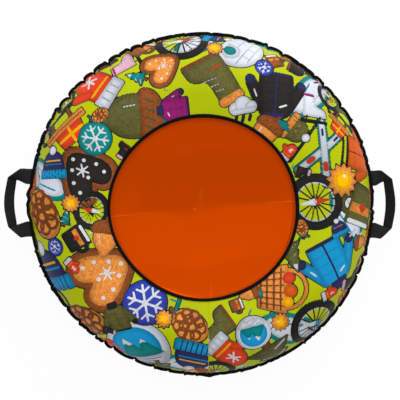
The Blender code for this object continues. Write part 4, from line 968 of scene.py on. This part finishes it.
# Black with a soft shine, and the grain of the scrim pressed through the coating: 2.4 mm cells
tarp_look, tree, shader = material("black_tarpaulin", "161618", roughness=0.46)
uv = add(tree, "ShaderNodeUVMap", uv_map="cloth").outputs["UV"]
relief(tree, shader, uv, "ShaderNodeTexVoronoi", 420.0, 0.25, 0.3 * MM)
underside = mesh_object("underside_cloth", under_points, under_faces, tarp_look, uv=under_points[:, :2])
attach(underside, "tube_and_cover")
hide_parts("bottom_panel")
print("underside", 2 * len(under_faces), "triangles")

# %% [markdown]
# ## Inner tube
#
# A butyl tube fills the cover and can be seen only where the zip is open. It is a smooth ring, a little
# smaller than the cloth round it, dull black with traces of the talc that it was packed in.

# %% Inner tube
RUBBER_TURNS, RUBBER_SIDES = 200, 64
RUBBER_RADIUS, RUBBER_Z = TUBE_RADIUS - 3.2 * MM, SEAM_Z + 0.4 * MM   # middle of its section
RUBBER_A, RUBBER_B = 122.4 * MM, 119.0 * MM                           # half width and half height
# Dull black, dusted grey in clouds
rubber, tree, shader = material("butyl_rubber", roughness=0.72, Specular_IOR_Level=0.35)
place = add(tree, "ShaderNodeTexCoord").outputs["Object"]
talc = add(tree, "ShaderNodeTexNoise", {"Vector": place, "Scale": 24.0, "Detail": 6.0, "Roughness": 0.7})
dusted = add(tree, "ShaderNodeMapRange", {"Value": talc.outputs["Fac"], "From Min": 0.45, "From Max": 0.8})
colour = add(tree, "ShaderNodeMix", {0: dusted.outputs[0], 6: linear("161617"), 7: linear("343434")},
             data_type="RGBA")
tree.links.new(colour.outputs[2], shader.inputs["Base Color"])
tube_turn = np.arange(RUBBER_TURNS) * math.tau / RUBBER_TURNS
rings = []
for a in np.arange(RUBBER_SIDES) * math.tau / RUBBER_SIDES:
    radius = RUBBER_RADIUS + RUBBER_A * math.cos(a)
    height = np.full(RUBBER_TURNS, RUBBER_Z + RUBBER_B * math.sin(a))
    rings.append(np.stack([radius * np.cos(tube_turn), radius * np.sin(tube_turn), height], 1))
tube_points = np.concatenate(rings)
tube_faces = outward(tube_points, grid_faces(RUBBER_SIDES, RUBBER_TURNS, close_rows=True))
tube = mesh_object("rubber_tube", tube_points, tube_faces, rubber)
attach(tube, "tube_and_cover")
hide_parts("inner_tube")
print("rubber tube", 2 * len(tube_faces), "triangles")

# %% [markdown]
# ## Tapes
#
# A woven tape is folded over the gathered rim and sewn through, and a flat one covers the seat's seam. Both
# are black, with rounded folds. The rim's tape follows every tuck.

# %% Tapes
# Nearly black and without shine, with ribs 1.7 mm apart
tape_look, tree, shader = material("black_woven_tape", "070707", roughness=0.85, Specular_IOR_Level=0.12)
uv = add(tree, "ShaderNodeUVMap", uv_map="cloth").outputs["UV"]
relief(tree, shader, uv, "ShaderNodeTexWave", 180.0, 0.4, 0.3 * MM, {"Distortion": 0.6, "Detail": 1.0})


def band(name, profile, look, shift=0, rise=0, slack=0, edge=0, middle=0, spread=1):
    """A tape turned about Z from a closed (radius, height) profile, moved in and out and up and down.

    Slack moves only what lies inside the radius called edge. Spread widens the tape about the radius called
    middle.
    """
    points = []
    for r, z in profile:
        radius = middle + (r - middle) * spread + shift + slack * (r < edge)
        points.append(np.stack([
            radius * np.cos(angle), radius * np.sin(angle), np.full(COLUMNS, z) + rise], 1))
    points = np.concatenate(points)
    around = np.concatenate([[0], np.cumsum(np.hypot(*np.diff(np.array(profile), axis=0).T))])
    uv = np.stack([np.tile(angle * profile[0][0], len(profile)), np.repeat(around, COLUMNS)], 1)
    faces = outward(points, grid_faces(len(profile), COLUMNS, close_rows=True))
    return mesh_object(name, points, faces, look, uv=uv)


TAPE = 0.65 * MM
FOLDED = 1.8 * MM             # half the height of the folded seam inside the tape
TAPE_EDGE = 441.4 * MM        # the rim tape's inner edge
turn = np.linspace(math.pi / 2, -math.pi / 2, 9)
fold, inner_fold = (
    [(RIM_RADIUS - 2.2 * MM + h * 0.8 * math.cos(a), SEAM_Z + h * math.sin(a)) for a in turn]
    for h in (FOLDED + TAPE, FOLDED))
rim_profile = [
    (TAPE_EDGE, SEAM_Z + FOLDED + 0.1 * MM), (TAPE_EDGE + 0.3 * MM, SEAM_Z + FOLDED + TAPE), *fold,
    (TAPE_EDGE + 0.3 * MM, SEAM_Z - FOLDED - TAPE), (TAPE_EDGE, SEAM_Z - FOLDED - 0.1 * MM),
    *inner_fold[::-1]]
slack = round_rim(-1.3 * MM, 1.0 * MM) * beside_straps   # it wasn't folded quite in half everywhere
rim_tape = band("rim_tape", rim_profile, tape_look, shift=scallop + rim_out, rise=wave, slack=slack,
                edge=TAPE_EDGE + 1 * MM)
SEAT_TAPE_HALF = 4.6 * MM     # half its width
SEAT_TAPE_TILT = 1.2 * MM     # its outer edge lies this much higher than its middle
SEAT_TAPE_IN = 1.6 * MM       # its middle lies this much inside the seam
arch = np.linspace(-1, 1, 11)
seat_profile = [
    (SEAT_RADIUS + SEAT_TAPE_HALF * s, SEAT_Z + 0.4 * MM + 2.4 * MM * (1 - abs(s) ** 3) + SEAT_TAPE_TILT * s)
    for s in arch]
seat_profile += [
    (SEAT_RADIUS + SEAT_TAPE_HALF * 0.96 * s, SEAT_Z - 0.1 * MM + SEAT_TAPE_TILT * s) for s in arch[::-2]]
# It was sewn on by hand and eye: its width wanders, and it is narrowest at the left
evenness = 0.98 + 0.06 * np.sin(5 * angle + 0.4) + 0.04 * np.sin(9 * angle) - 0.16 * hill(degrees, 172, 32)
seat_tape = band("seat_tape", seat_profile, tape_look, shift=seat_out(angle) - SEAT_TAPE_IN,
                 middle=SEAT_RADIUS, spread=evenness)
for piece, node in ((rim_tape, "rim_binding"), (seat_tape, "seat_binding")):
    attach(piece, "tube_and_cover")
    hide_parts(node)
    print(piece.name, len(piece.data.polygons), "faces")

# %% [markdown]
# ## Stitching
#
# Rows of lockstitch run along both tapes, the sewn ends of the straps and the zip's tapes. Geometry Nodes
# lays one small bead of thread at each step along a curve, turned along it, so one tree serves every row.

# %% Stitch rows
# A shade lighter than the tapes, with a little shine, so that each stitch can be told from the cloth
thread_look, tree, shader = material(
    "black_polyester_thread", "1B1B1C", roughness=0.6, Specular_IOR_Level=0.3)
place = add(tree, "ShaderNodeTexCoord").outputs["Object"]
relief(tree, shader, place, "ShaderNodeTexNoise", 2500.0, 0.3, 0.1 * MM)

stitch_tree = bpy.data.node_groups.new("stitch_row", "GeometryNodeTree")
socket = {}
for title, kind in (
        ("Path", "NodeSocketGeometry"), ("Step", "NodeSocketFloat"), ("Length", "NodeSocketFloat"),
        ("Thread", "NodeSocketFloat"), ("Look", "NodeSocketMaterial")):
    socket[title] = stitch_tree.interface.new_socket(title, in_out="INPUT", socket_type=kind).identifier
stitch_tree.interface.new_socket("Stitches", in_out="OUTPUT", socket_type="NodeSocketGeometry")
given = add(stitch_tree, "NodeGroupInput").outputs
steps = add(stitch_tree, "GeometryNodeCurveToPoints", {
    "Curve": given["Path"], "Length": given["Step"]}, mode="LENGTH").outputs
bead = add(stitch_tree, "GeometryNodeMeshUVSphere", {"Segments": 6, "Rings": 4, "Radius": 0.5})
size = add(stitch_tree, "ShaderNodeCombineXYZ", {0: given["Thread"], 1: given["Thread"], 2: given["Length"]})
shaped = add(stitch_tree, "GeometryNodeTransform", {
    "Geometry": bead.outputs["Mesh"], "Scale": size.outputs[0]})
laid = add(stitch_tree, "GeometryNodeInstanceOnPoints", {
    "Points": steps["Points"], "Instance": shaped.outputs[0], "Rotation": steps["Rotation"]})
real = add(stitch_tree, "GeometryNodeRealizeInstances", {"Geometry": laid.outputs[0]})
dressed = add(stitch_tree, "GeometryNodeSetMaterial", {
    "Geometry": real.outputs[0], "Material": given["Look"]})
add(stitch_tree, "NodeGroupOutput", {0: dressed.outputs[0]})


def stitch_rows(name, paths, closed=False, step=4 * MM, length=3.1 * MM, thread=0.7 * MM):
    """Stitches along each of the paths, as one plain mesh."""
    curve = bpy.data.curves.new(name + "_path", "CURVE")
    curve.dimensions = "3D"
    for path in paths:
        spline = curve.splines.new("POLY")
        spline.points.add(len(path) - 1)
        spline.points.foreach_set("co", np.column_stack([path, np.ones(len(path))]).ravel())
        spline.use_cyclic_u = closed
    carrier = linked(bpy.data.objects.new(name + "_path", curve))
    modifier = carrier.modifiers.new("stitches", "NODES")
    modifier.node_group = stitch_tree
    for title, value in (("Step", step), ("Length", length), ("Thread", thread), ("Look", thread_look)):
        modifier[socket[title]] = value
    graph = bpy.context.evaluated_depsgraph_get()
    mesh = bpy.data.meshes.new_from_object(carrier.evaluated_get(graph), depsgraph=graph)
    bpy.data.objects.remove(carrier)
    mesh.name = name
    mesh.polygons.foreach_set("use_smooth", [True] * len(mesh.polygons))
    print(name, len(mesh.polygons), "faces")
    return linked(bpy.data.objects.new(name, mesh))


def rim_line(radius, height):
    """A line round the rim that follows its tucks."""
    r = radius + scallop + rim_out
    return np.stack([r * np.cos(angle), r * np.sin(angle), np.full(COLUMNS, height) + wave], 1)


LINE_POINTS = 720
plain_ring = np.arange(LINE_POINTS) * math.tau / LINE_POINTS


def ring_line(radius, height):
    """A line round the seat's seam."""
    r = radius - SEAT_TAPE_IN + seat_out(plain_ring)
    return np.stack([r * np.cos(plain_ring), r * np.sin(plain_ring), np.full(LINE_POINTS, height)], 1)


RIM_ROW = 444.2 * MM          # the row through the rim's tape
SECOND_ROW = 447.8 * MM       # the straps are held by one more, further out
SEAT_ROW = 3.4 * MM           # the rows along the seat's tape lie this far from its middle
rim_stitches = stitch_rows("rim_stitches", [
    rim_line(RIM_ROW, SEAM_Z + FOLDED + TAPE), rim_line(RIM_ROW, SEAM_Z - FOLDED - TAPE)], closed=True)
seat_stitches = stitch_rows("seat_tape_stitches", [
    ring_line(SEAT_RADIUS - SEAT_ROW, SEAT_Z + 1.1 * MM),
    ring_line(SEAT_RADIUS + SEAT_ROW, SEAT_Z + 2.8 * MM)],
    closed=True)
# Two rows of close stitches hold each end of a strap, seen from below
across_strap = np.array((50.5, 59, 68, 77, 86)) * MM
strap_rows = [
    [(side * math.sqrt(r * r - y * y), sign * y + (side < 0) * LEFT_UP, STRAP_Z - 0.8 * MM)
     for y in across_strap]
    for side in (-1, 1) for sign in (-1, 1) for r in (RIM_ROW, SECOND_ROW)]
strap_stitches = stitch_rows("strap_stitches", strap_rows, step=2.6 * MM, length=2.2 * MM, thread=0.9 * MM)
for piece in (rim_stitches, seat_stitches, strap_stitches):
    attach(piece, "tube_and_cover")

# %% [markdown]
# ## Handles
#
# Each is one length of 40 mm polyester webbing. Its ends are sewn under the rim, it comes out flat, folds
# at two chamfered corners and turns on edge in the grip.

# %% Webbing
WEB, WEB_WIDTH = 1.6 * MM, 40 * MM
EDGES = np.array([   # mm out from the hinge and along the rim: the outer edge's, then the inner edge's
    (-19.0, 88.4, -12.8, 48.4), (1.8, 88.4, 1.8, 48.4), (8.0, 89.4, 5.5, 49.6), (17.0, 89.2, 11.0, 52.0),
    (27.0, 81.3, 17.0, 54.8), (37.0, 73.4, 22.0, 57.0), (44.5, 67.5, 26.0, 58.5), (46.8, 55.0, 27.4, 46.5),
    (50.2, 36.0, 29.6, 31.0), (52.8, 18.0, 31.2, 17.0), (53.7, 0.0, 31.7, 0.0)]) * MM
# At the photograph's lower corners the outer edge is cut off longer
LOWER = np.array([0, 0, 0, 1.3, -1.8, -4.4, -6.0, -4.0, -2.0, 0, 0]) * MM
FOLD_ROW = 6                  # where the strap is pressed into its fold
FOLD_AT = 63 * MM             # the fold's distance from the strap's middle, on the cloth's own map
STRETCH = {-1: (1.127, 1.13), 1: (0.985, 1)}   # the left loop stands out further; outer edge, inner edge
LENGTHWISE = 181              # rings of points along a strap
# Dark grey and matt, ribbed, with a painted dark line of shade where it is folded
web_look, tree, shader = material("black_webbing", roughness=0.85, Specular_IOR_Level=0.2)
uv = add(tree, "ShaderNodeUVMap", uv_map="cloth").outputs["UV"]
# Ribs of the weave, 2 mm apart: real webbing's are 1.4 mm, too fine for this view
relief(tree, shader, uv, "ShaderNodeTexWave", 160.0, 0.6, 0.5 * MM, {"Distortion": 0.0})
# Painted shade in the pressed fold: a line nearly black across the strap, where the fold would shade itself
lengthwise = add(tree, "ShaderNodeSeparateXYZ", {0: uv}).outputs[0]
from_middle = add(tree, "ShaderNodeMath", {0: lengthwise}, operation="ABSOLUTE").outputs[0]
from_fold = add(tree, "ShaderNodeMath", {0: from_middle, 1: FOLD_AT, 2: 1.3 * MM},
                operation="COMPARE").outputs[0]
colour = add(tree, "ShaderNodeMix", {0: from_fold, 6: linear("212121"), 7: linear("040404")},
             data_type="RGBA")
tree.links.new(colour.outputs[2], shader.inputs["Base Color"])


def smoothed(values):
    """The rows drawn together a little along the list, with the two ends kept."""
    return np.concatenate([values[:1], (values[:-2] + 2 * values[1:-1] + values[2:]) / 4, values[-1:]])


def half_loop(side, cut):
    """Outer and inner edge of half a loop, from its sewn end to the middle of the grip."""
    outer, inner = EDGES[:, :2].copy(), EDGES[:, 2:].copy()
    outer[:, 1] += cut
    for edge, stretch in zip((outer, inner), STRETCH[side]):
        edge[1:, 0] *= stretch
    # Where the edges are seen closer than the strap is wide, it is turned on edge by the rest
    seen = np.linalg.norm(outer - inner, axis=1)
    rise = np.sqrt(np.maximum(0, WEB_WIDTH ** 2 - seen ** 2)) / 2
    rise[:2] = 0
    return np.column_stack([outer, rise]), np.column_stack([inner, -rise])


def webbing(side):
    """Points, faces, cloth map and length of one handle. Side is 1 or -1 along X."""
    other_half = np.array((1, -1, 1))
    outer, inner = (
        np.concatenate([upper, (lower * other_half)[-2::-1]])
        for upper, lower in zip(half_loop(side, 0), half_loop(side, LOWER)))
    step = np.linalg.norm(np.diff((outer + inner) / 2, axis=0), axis=1)
    at = np.concatenate([[0], np.cumsum(step)])
    length = float(at[-1])
    fine = np.linspace(0, length, LENGTHWISE)
    outer, inner = (
        smoothed(np.column_stack([np.interp(fine, at, edge[:, k]) for k in range(3)]))
        for edge in (outer, inner))
    # The map runs from the middle of the grip, with both folds at the same distance
    first, last = at[FOLD_ROW], at[-1 - FOLD_ROW]
    lengthwise = np.interp(fine, [0, first, at[len(EDGES) - 1], last, length],
                           [-FOLD_AT - first, -FOLD_AT, 0, FOLD_AT, FOLD_AT + length - last])
    middle = (outer + inner) / 2
    face = np.cross(np.gradient(middle, axis=0), inner - outer)
    face /= np.linalg.norm(face, axis=1)[:, None]
    # Across: a rounded selvedge at each edge and two flat faces
    ring = [(s, WEB / 2 * min(1, (1 - abs(s)) * 18) ** 0.5) for s in np.linspace(-1, 1, 15)]
    ring += [(s, -h) for s, h in ring[::-1]][1:-1]
    points = np.stack([middle + (outer - inner) / 2 * s + face * h for s, h in ring], 1)
    points = points.reshape(-1, 3) * (side, 1, 1) + (side * HINGE_X, (side < 0) * LEFT_UP, STRAP_Z)
    across = [s * WEB_WIDTH / 2 for s, _ in ring]
    uv = np.stack([np.repeat(lengthwise, len(ring)), np.tile(across, len(fine))], 1)
    faces = outward(points, grid_faces(len(fine), len(ring)), end_caps(len(fine), len(ring)))
    return points, faces, uv, length


for side, body, left_right in ((-1, "left_loop", "left"), (1, "right_loop", "right")):
    points, faces, uv, length = webbing(side)
    piece = mesh_object(f"{left_right}_webbing", points, faces, web_look, uv=uv)
    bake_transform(piece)
    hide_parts(f"{left_right}_handle", f"{left_right}_strap_end_lower",
                f"{left_right}_strap_end_upper")
    print(piece.name, round(length / MM), "mm long")

# %% [markdown]
# ## Zip
#
# Two woven tapes carry moulded teeth across the slit, with a cloth patch sewn over each end. The rigid pieces
# keep the frame's own solids: their edges are eased by a small bevel, as moulded and cast pieces have. The
# tapes and patches are cloth, so strips of the webbing's kind take their place.

# %% Zip tapes and patches
# Matt black with knitted rows 1.2 mm apart
zip_cloth, tree, shader = material("black_zip_tape", "101011", roughness=0.82, Specular_IOR_Level=0.25)
uv = add(tree, "ShaderNodeUVMap", uv_map="cloth").outputs["UV"]
relief(tree, shader, uv, "ShaderNodeTexWave", 265.0, 0.5, 0.3 * MM, {"Distortion": 1.0, "Detail": 1.0},
       bands_direction="Y")
# The patches are cut from the tarpaulin with its back outwards, which is smoother and shines more
patch_look, tree, shader = material("tarpaulin_back", "222224", roughness=0.34)
uv = add(tree, "ShaderNodeUVMap", uv_map="cloth").outputs["UV"]
relief(tree, shader, uv, "ShaderNodeTexNoise", 700.0, 0.2, 0.2 * MM, {"Detail": 2.0})
TUCKED_IN = 4.3 * MM                              # how far a tape's inner edge is folded in beyond the stops
MEETING = ((-200, -197.5), (201.5, 204))          # where that fold ends and begins again, in mm along the zip


def flat_strip(name, low, high, corner, look, meets=0):
    """A strip of cloth that fills the box from low to high, both (x, y, z), with rounded corners.

    Meets is 1 or -1 for a zip's tape at +Y or -Y: beyond the stops its inner edge is folded in to the middle.
    """
    thick = high[2] - low[2]
    x = low[0] + (high[0] - low[0]) * (0.5 - 0.5 * np.cos(np.linspace(0, math.pi, 240)))
    from_end = np.minimum(x - low[0], high[0] - x)
    pulled = corner - np.sqrt(np.maximum(0, corner ** 2 - np.maximum(0, corner - from_end) ** 2))
    middle, half = (low[1] + high[1]) / 2, (high[1] - low[1]) / 2
    ring = [(s, thick / 2 * min(1, (1 - abs(s)) * 14 + 0.25)) for s in np.linspace(-1, 1, 11)]
    ring += [(s, -h) for s, h in ring[::-1]]
    opened, closed = (smoothstep(x / MM, *ends) for ends in MEETING)
    beyond = TUCKED_IN * (1 - opened * (1 - closed))
    points = np.stack([
        np.column_stack([x, middle + (half - pulled) * s - meets * beyond * (1 - meets * s) / 2,
                         np.full(len(x), low[2] + thick / 2 + h)]) for s, h in ring], 1).reshape(-1, 3)
    faces = outward(points, grid_faces(len(x), len(ring)), end_caps(len(x), len(ring)))
    return mesh_object(name, points, faces, look, uv=points[:, :2])


strips = []
for name in ("zip_tape_lower", "zip_tape_upper", "zip_patch_left", "zip_patch_right"):
    low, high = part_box(name)
    if "patch" in name:
        strip = flat_strip(name + "_cloth", low, high, 4 * MM, patch_look)
    else:
        strip = flat_strip(name + "_cloth", low, high, 1 * MM, zip_cloth, -1 if "lower" in name else 1)
    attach(strip, "tube_and_cover")
    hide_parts(name)
    strips.append(strip)


def box_line(low, high, inset):
    """A closed row of stitches inside a flat piece's edge, on its lower side."""
    x0, y0, x1, y1 = low[0] + inset, low[1] + inset, high[0] - inset, high[1] - inset
    corners = np.array([(x0, y0), (x1, y0), (x1, y1), (x0, y1), (x0, y0)])
    return np.column_stack([corners, np.full(5, low[2])])


zip_rows = [box_line(*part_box(name), 2.4 * MM) for name in ("zip_patch_left", "zip_patch_right")]
# Two rows on each side of the slit, through the bottom's cloth
x = np.linspace(-208 * MM, 208 * MM, 40)
for y in (-10.4 * MM, -18.6 * MM, 10.4 * MM, 18.6 * MM):
    zip_rows.append(np.column_stack([x, np.full(40, y), np.full(40, MIDDLE_Z)]))
zip_stitches = stitch_rows("zip_stitches", zip_rows, step=3.6 * MM, length=2.8 * MM)
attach(zip_stitches, "tube_and_cover")

# %% [markdown]
# ## Moulded and metal pieces
#
# Acetal teeth, a blackened zinc slider with its pull, a turned brass stem and core, a steel pin, a moulded
# cap and rubber seals. Each keeps its solid and gets a finish of its own.

# %% Rigid finishes
EASED_FROM = math.radians(40)   # edges sharper than this are eased


def finish_nodes(look, bevel, *names):
    """Gives CAD nodes a material, and eases their edges by a bevel on the merged mesh."""
    for name in names:
        node = nodes[name]
        node.data.materials.clear()
        node.data.materials.append(look)
        if bevel:
            node.modifiers.new("merge", "WELD").merge_threshold = 1e-6
            eased = node.modifiers.new("ease", "BEVEL")
            eased.width, eased.segments, eased.limit_method = bevel, 2, "ANGLE"
            eased.angle_limit = EASED_FROM


# Smooth black plastic whose gloss is uneven where it flowed into the mould
acetal, tree, shader = material("moulded_acetal", "131314")
uneven(tree, shader, add(tree, "ShaderNodeTexCoord").outputs["Object"], 400.0, 2.0, 0.26, 0.44)

# Dark cast metal, worn through to a warm grey in small spots
zinc, tree, shader = material("blackened_zinc", roughness=0.42, Metallic=0.85)
place = add(tree, "ShaderNodeTexCoord").outputs["Object"]
pits = relief(tree, shader, place, "ShaderNodeTexNoise", 260.0, 0.15, 0.2 * MM,
              {"Detail": 5.0, "Roughness": 0.7})
bare = add(tree, "ShaderNodeMapRange", {"Value": pits, "From Min": 0.56, "From Max": 0.72}).outputs[0]
colour = add(tree, "ShaderNodeMix", {0: bare, 6: linear("2A2A2C"), 7: linear("7E7D7A")}, data_type="RGBA")
tree.links.new(colour.outputs[2], shader.inputs["Base Color"])

# Yellow metal with tool marks round its axis, which lies along Y, 0.5 mm apart
brass, tree, shader = material("turned_brass", roughness=0.28, Metallic=1.0)
place = add(tree, "ShaderNodeTexCoord").outputs["Object"]
lathe = relief(tree, shader, place, "ShaderNodeTexWave", 640.0, 0.25, 0.1 * MM,
               {"Distortion": 1.5, "Detail": 2.0}, bands_direction="Y")
colour = add(tree, "ShaderNodeMix", {0: lathe, 6: linear("A87E3A"), 7: linear("C69C52")}, data_type="RGBA")
tree.links.new(colour.outputs[2], shader.inputs["Base Color"])

# Bright wire, duller in places where the die drew it
steel, tree, shader = material("drawn_steel", "A8A9AB", Metallic=1.0)
uneven(tree, shader, add(tree, "ShaderNodeTexCoord").outputs["Object"], 1500.0, 2.0, 0.22, 0.4)

# A soft black shine, broken by the mould's fine grain
polythene, tree, shader = material("moulded_polythene", "141415", roughness=0.45)
place = add(tree, "ShaderNodeTexCoord").outputs["Object"]
relief(tree, shader, place, "ShaderNodeTexVoronoi", 1300.0, 0.2, 0.1 * MM)

finish_nodes(acetal, 0.18 * MM, "zip_teeth_lower", "zip_teeth_upper")
finish_nodes(zinc, 0.25 * MM, "zip_slider", "zip_pull", "zip_bottom_stop", "zip_top_stop_lower",
             "zip_top_stop_upper")
finish_nodes(brass, 0.15 * MM, "valve_stem", "valve_core")
finish_nodes(steel, 0, "valve_pin")
finish_nodes(polythene, 0.2 * MM, "valve_cap")
finish_nodes(rubber, 0, "valve_base", "valve_cap_seal")
print("finishes", len(bpy.data.materials))

# %% [markdown]
# ## Cloth as it was cut
#
# The cover was cut flat: two rings or discs 1.03 m across, a disc for the seat, the zip's strips and patches,
# and two lengths of webbing. Here only the frame's box of each zip strip and patch is looked up again, and
# nothing is made from it.

# %% Sheets
for strip in strips:
    low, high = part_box(strip.name.removesuffix("_cloth"))

# %% [markdown]
# ## Stage, light and camera
#
# The photograph is a shop's picture: white ground, a very soft shadow, one broad light overhead that
# shines back from the seat, and a softer one from the picture's top. The camera looks straight down from
# far off.

# %% Stage, light and camera
# Plain white. The camera sees nineteen parts in twenty of it as bare white, so that the soft shadow stays as
# faint as in the photograph.
WHITE = (1, 1, 1, 1)
floor_look, tree, shader = material("white_floor", "FFFFFF", roughness=1.0, Specular_IOR_Level=0.0)
sight = add(tree, "ShaderNodeLightPath")
plain = add(tree, "ShaderNodeEmission", {"Color": WHITE, "Strength": 1.0})
share = add(tree, "ShaderNodeMath", {0: sight.outputs["Is Camera Ray"], 1: 0.95}, operation="MULTIPLY")
seen = add(tree, "ShaderNodeMixShader", {0: share.outputs[0], 1: shader.outputs[0], 2: plain.outputs[0]})
tree.links.new(seen.outputs[0], tree.nodes["Material Output"].inputs["Surface"])
FLOOR = 30.0   # half its width, in metres
floor = mesh_object("floor", [(-FLOOR, -FLOOR, 0), (FLOOR, -FLOOR, 0), (FLOOR, FLOOR, 0), (-FLOOR, FLOOR, 0)],
                    [(0, 1, 2, 3)], floor_look)

FILL = 0.43    # the white surroundings light the object this strongly
world = bpy.data.worlds.new("sky")
bpy.context.scene.world = world
world.use_nodes = True
background = world.node_tree.nodes["Background"]
path = add(world.node_tree, "ShaderNodeLightPath")
strength = add(world.node_tree, "ShaderNodeMix", {0: path.outputs["Is Camera Ray"], 2: FILL, 3: 1.0},
               data_type="FLOAT")
world.node_tree.links.new(strength.outputs[0], background.inputs["Strength"])
background.inputs["Color"].default_value = WHITE

LAMPS_AWAY = 7.0   # metres


def soft_lamp(name, way, **settings):
    """An area lamp this way from the middle, turned towards it."""
    light = bpy.data.lights.new(name, "AREA")
    for key, value in settings.items():
        setattr(light, key, value)
    lamp = linked(bpy.data.objects.new(name, light))
    way = Vector(way).normalized()
    lamp.location = way * LAMPS_AWAY
    lamp.rotation_euler = way.to_track_quat("Z", "Y").to_euler()


# One large soft panel, nearly overhead: its lower edge is mirrored in the seat's fold, so that the half of
# the seat that tilts towards it shines and the other doesn't
KEY_ELEVATION = math.radians(71)
soft_lamp("key", (-0.06, math.cos(KEY_ELEVATION), math.sin(KEY_ELEVATION)),
          shape="RECTANGLE", size=7.0, size_y=5.8, energy=262)
# A softer light comes low from the picture's top: the ring's far side is bright in it, and its near side
# falls off
soft_lamp("window", (0.31, 0.852, 0.423), shape="DISK", size=3.0, energy=210, specular_factor=0.0)

# The picture is 1.042 m wide at the rim's height. The camera looks down from a little to the left and above,
# so that the seat, which is higher, shifts right and down against the rim.
WIDTH, SENSOR = 1.0417, 36
eye = Vector((-0.206, 0.337, 4.5))
camera = bpy.data.cameras.new("camera")
camera.sensor_width = SENSOR
camera.lens = SENSOR * eye.length / WIDTH
camera.shift_x, camera.shift_y = -0.0049, 0.0124   # puts the rim's middle where the photograph has it
camera.clip_end = 100
camera_object = linked(bpy.data.objects.new("camera", camera))
back = eye.normalized()
right = Vector((0, 1, 0)).cross(back).normalized()
camera_object.matrix_world = Matrix.Translation((0, 0, SEAM_Z)) @ Matrix.Translation(eye) @ Matrix(
    (right, back.cross(right), back)).transposed().to_4x4()
bpy.context.scene.camera = camera_object
bpy.context.scene.view_settings.view_transform = "Standard"
print("camera", [round(v, 3) for v in camera_object.matrix_world.translation], "lens", round(camera.lens, 1))
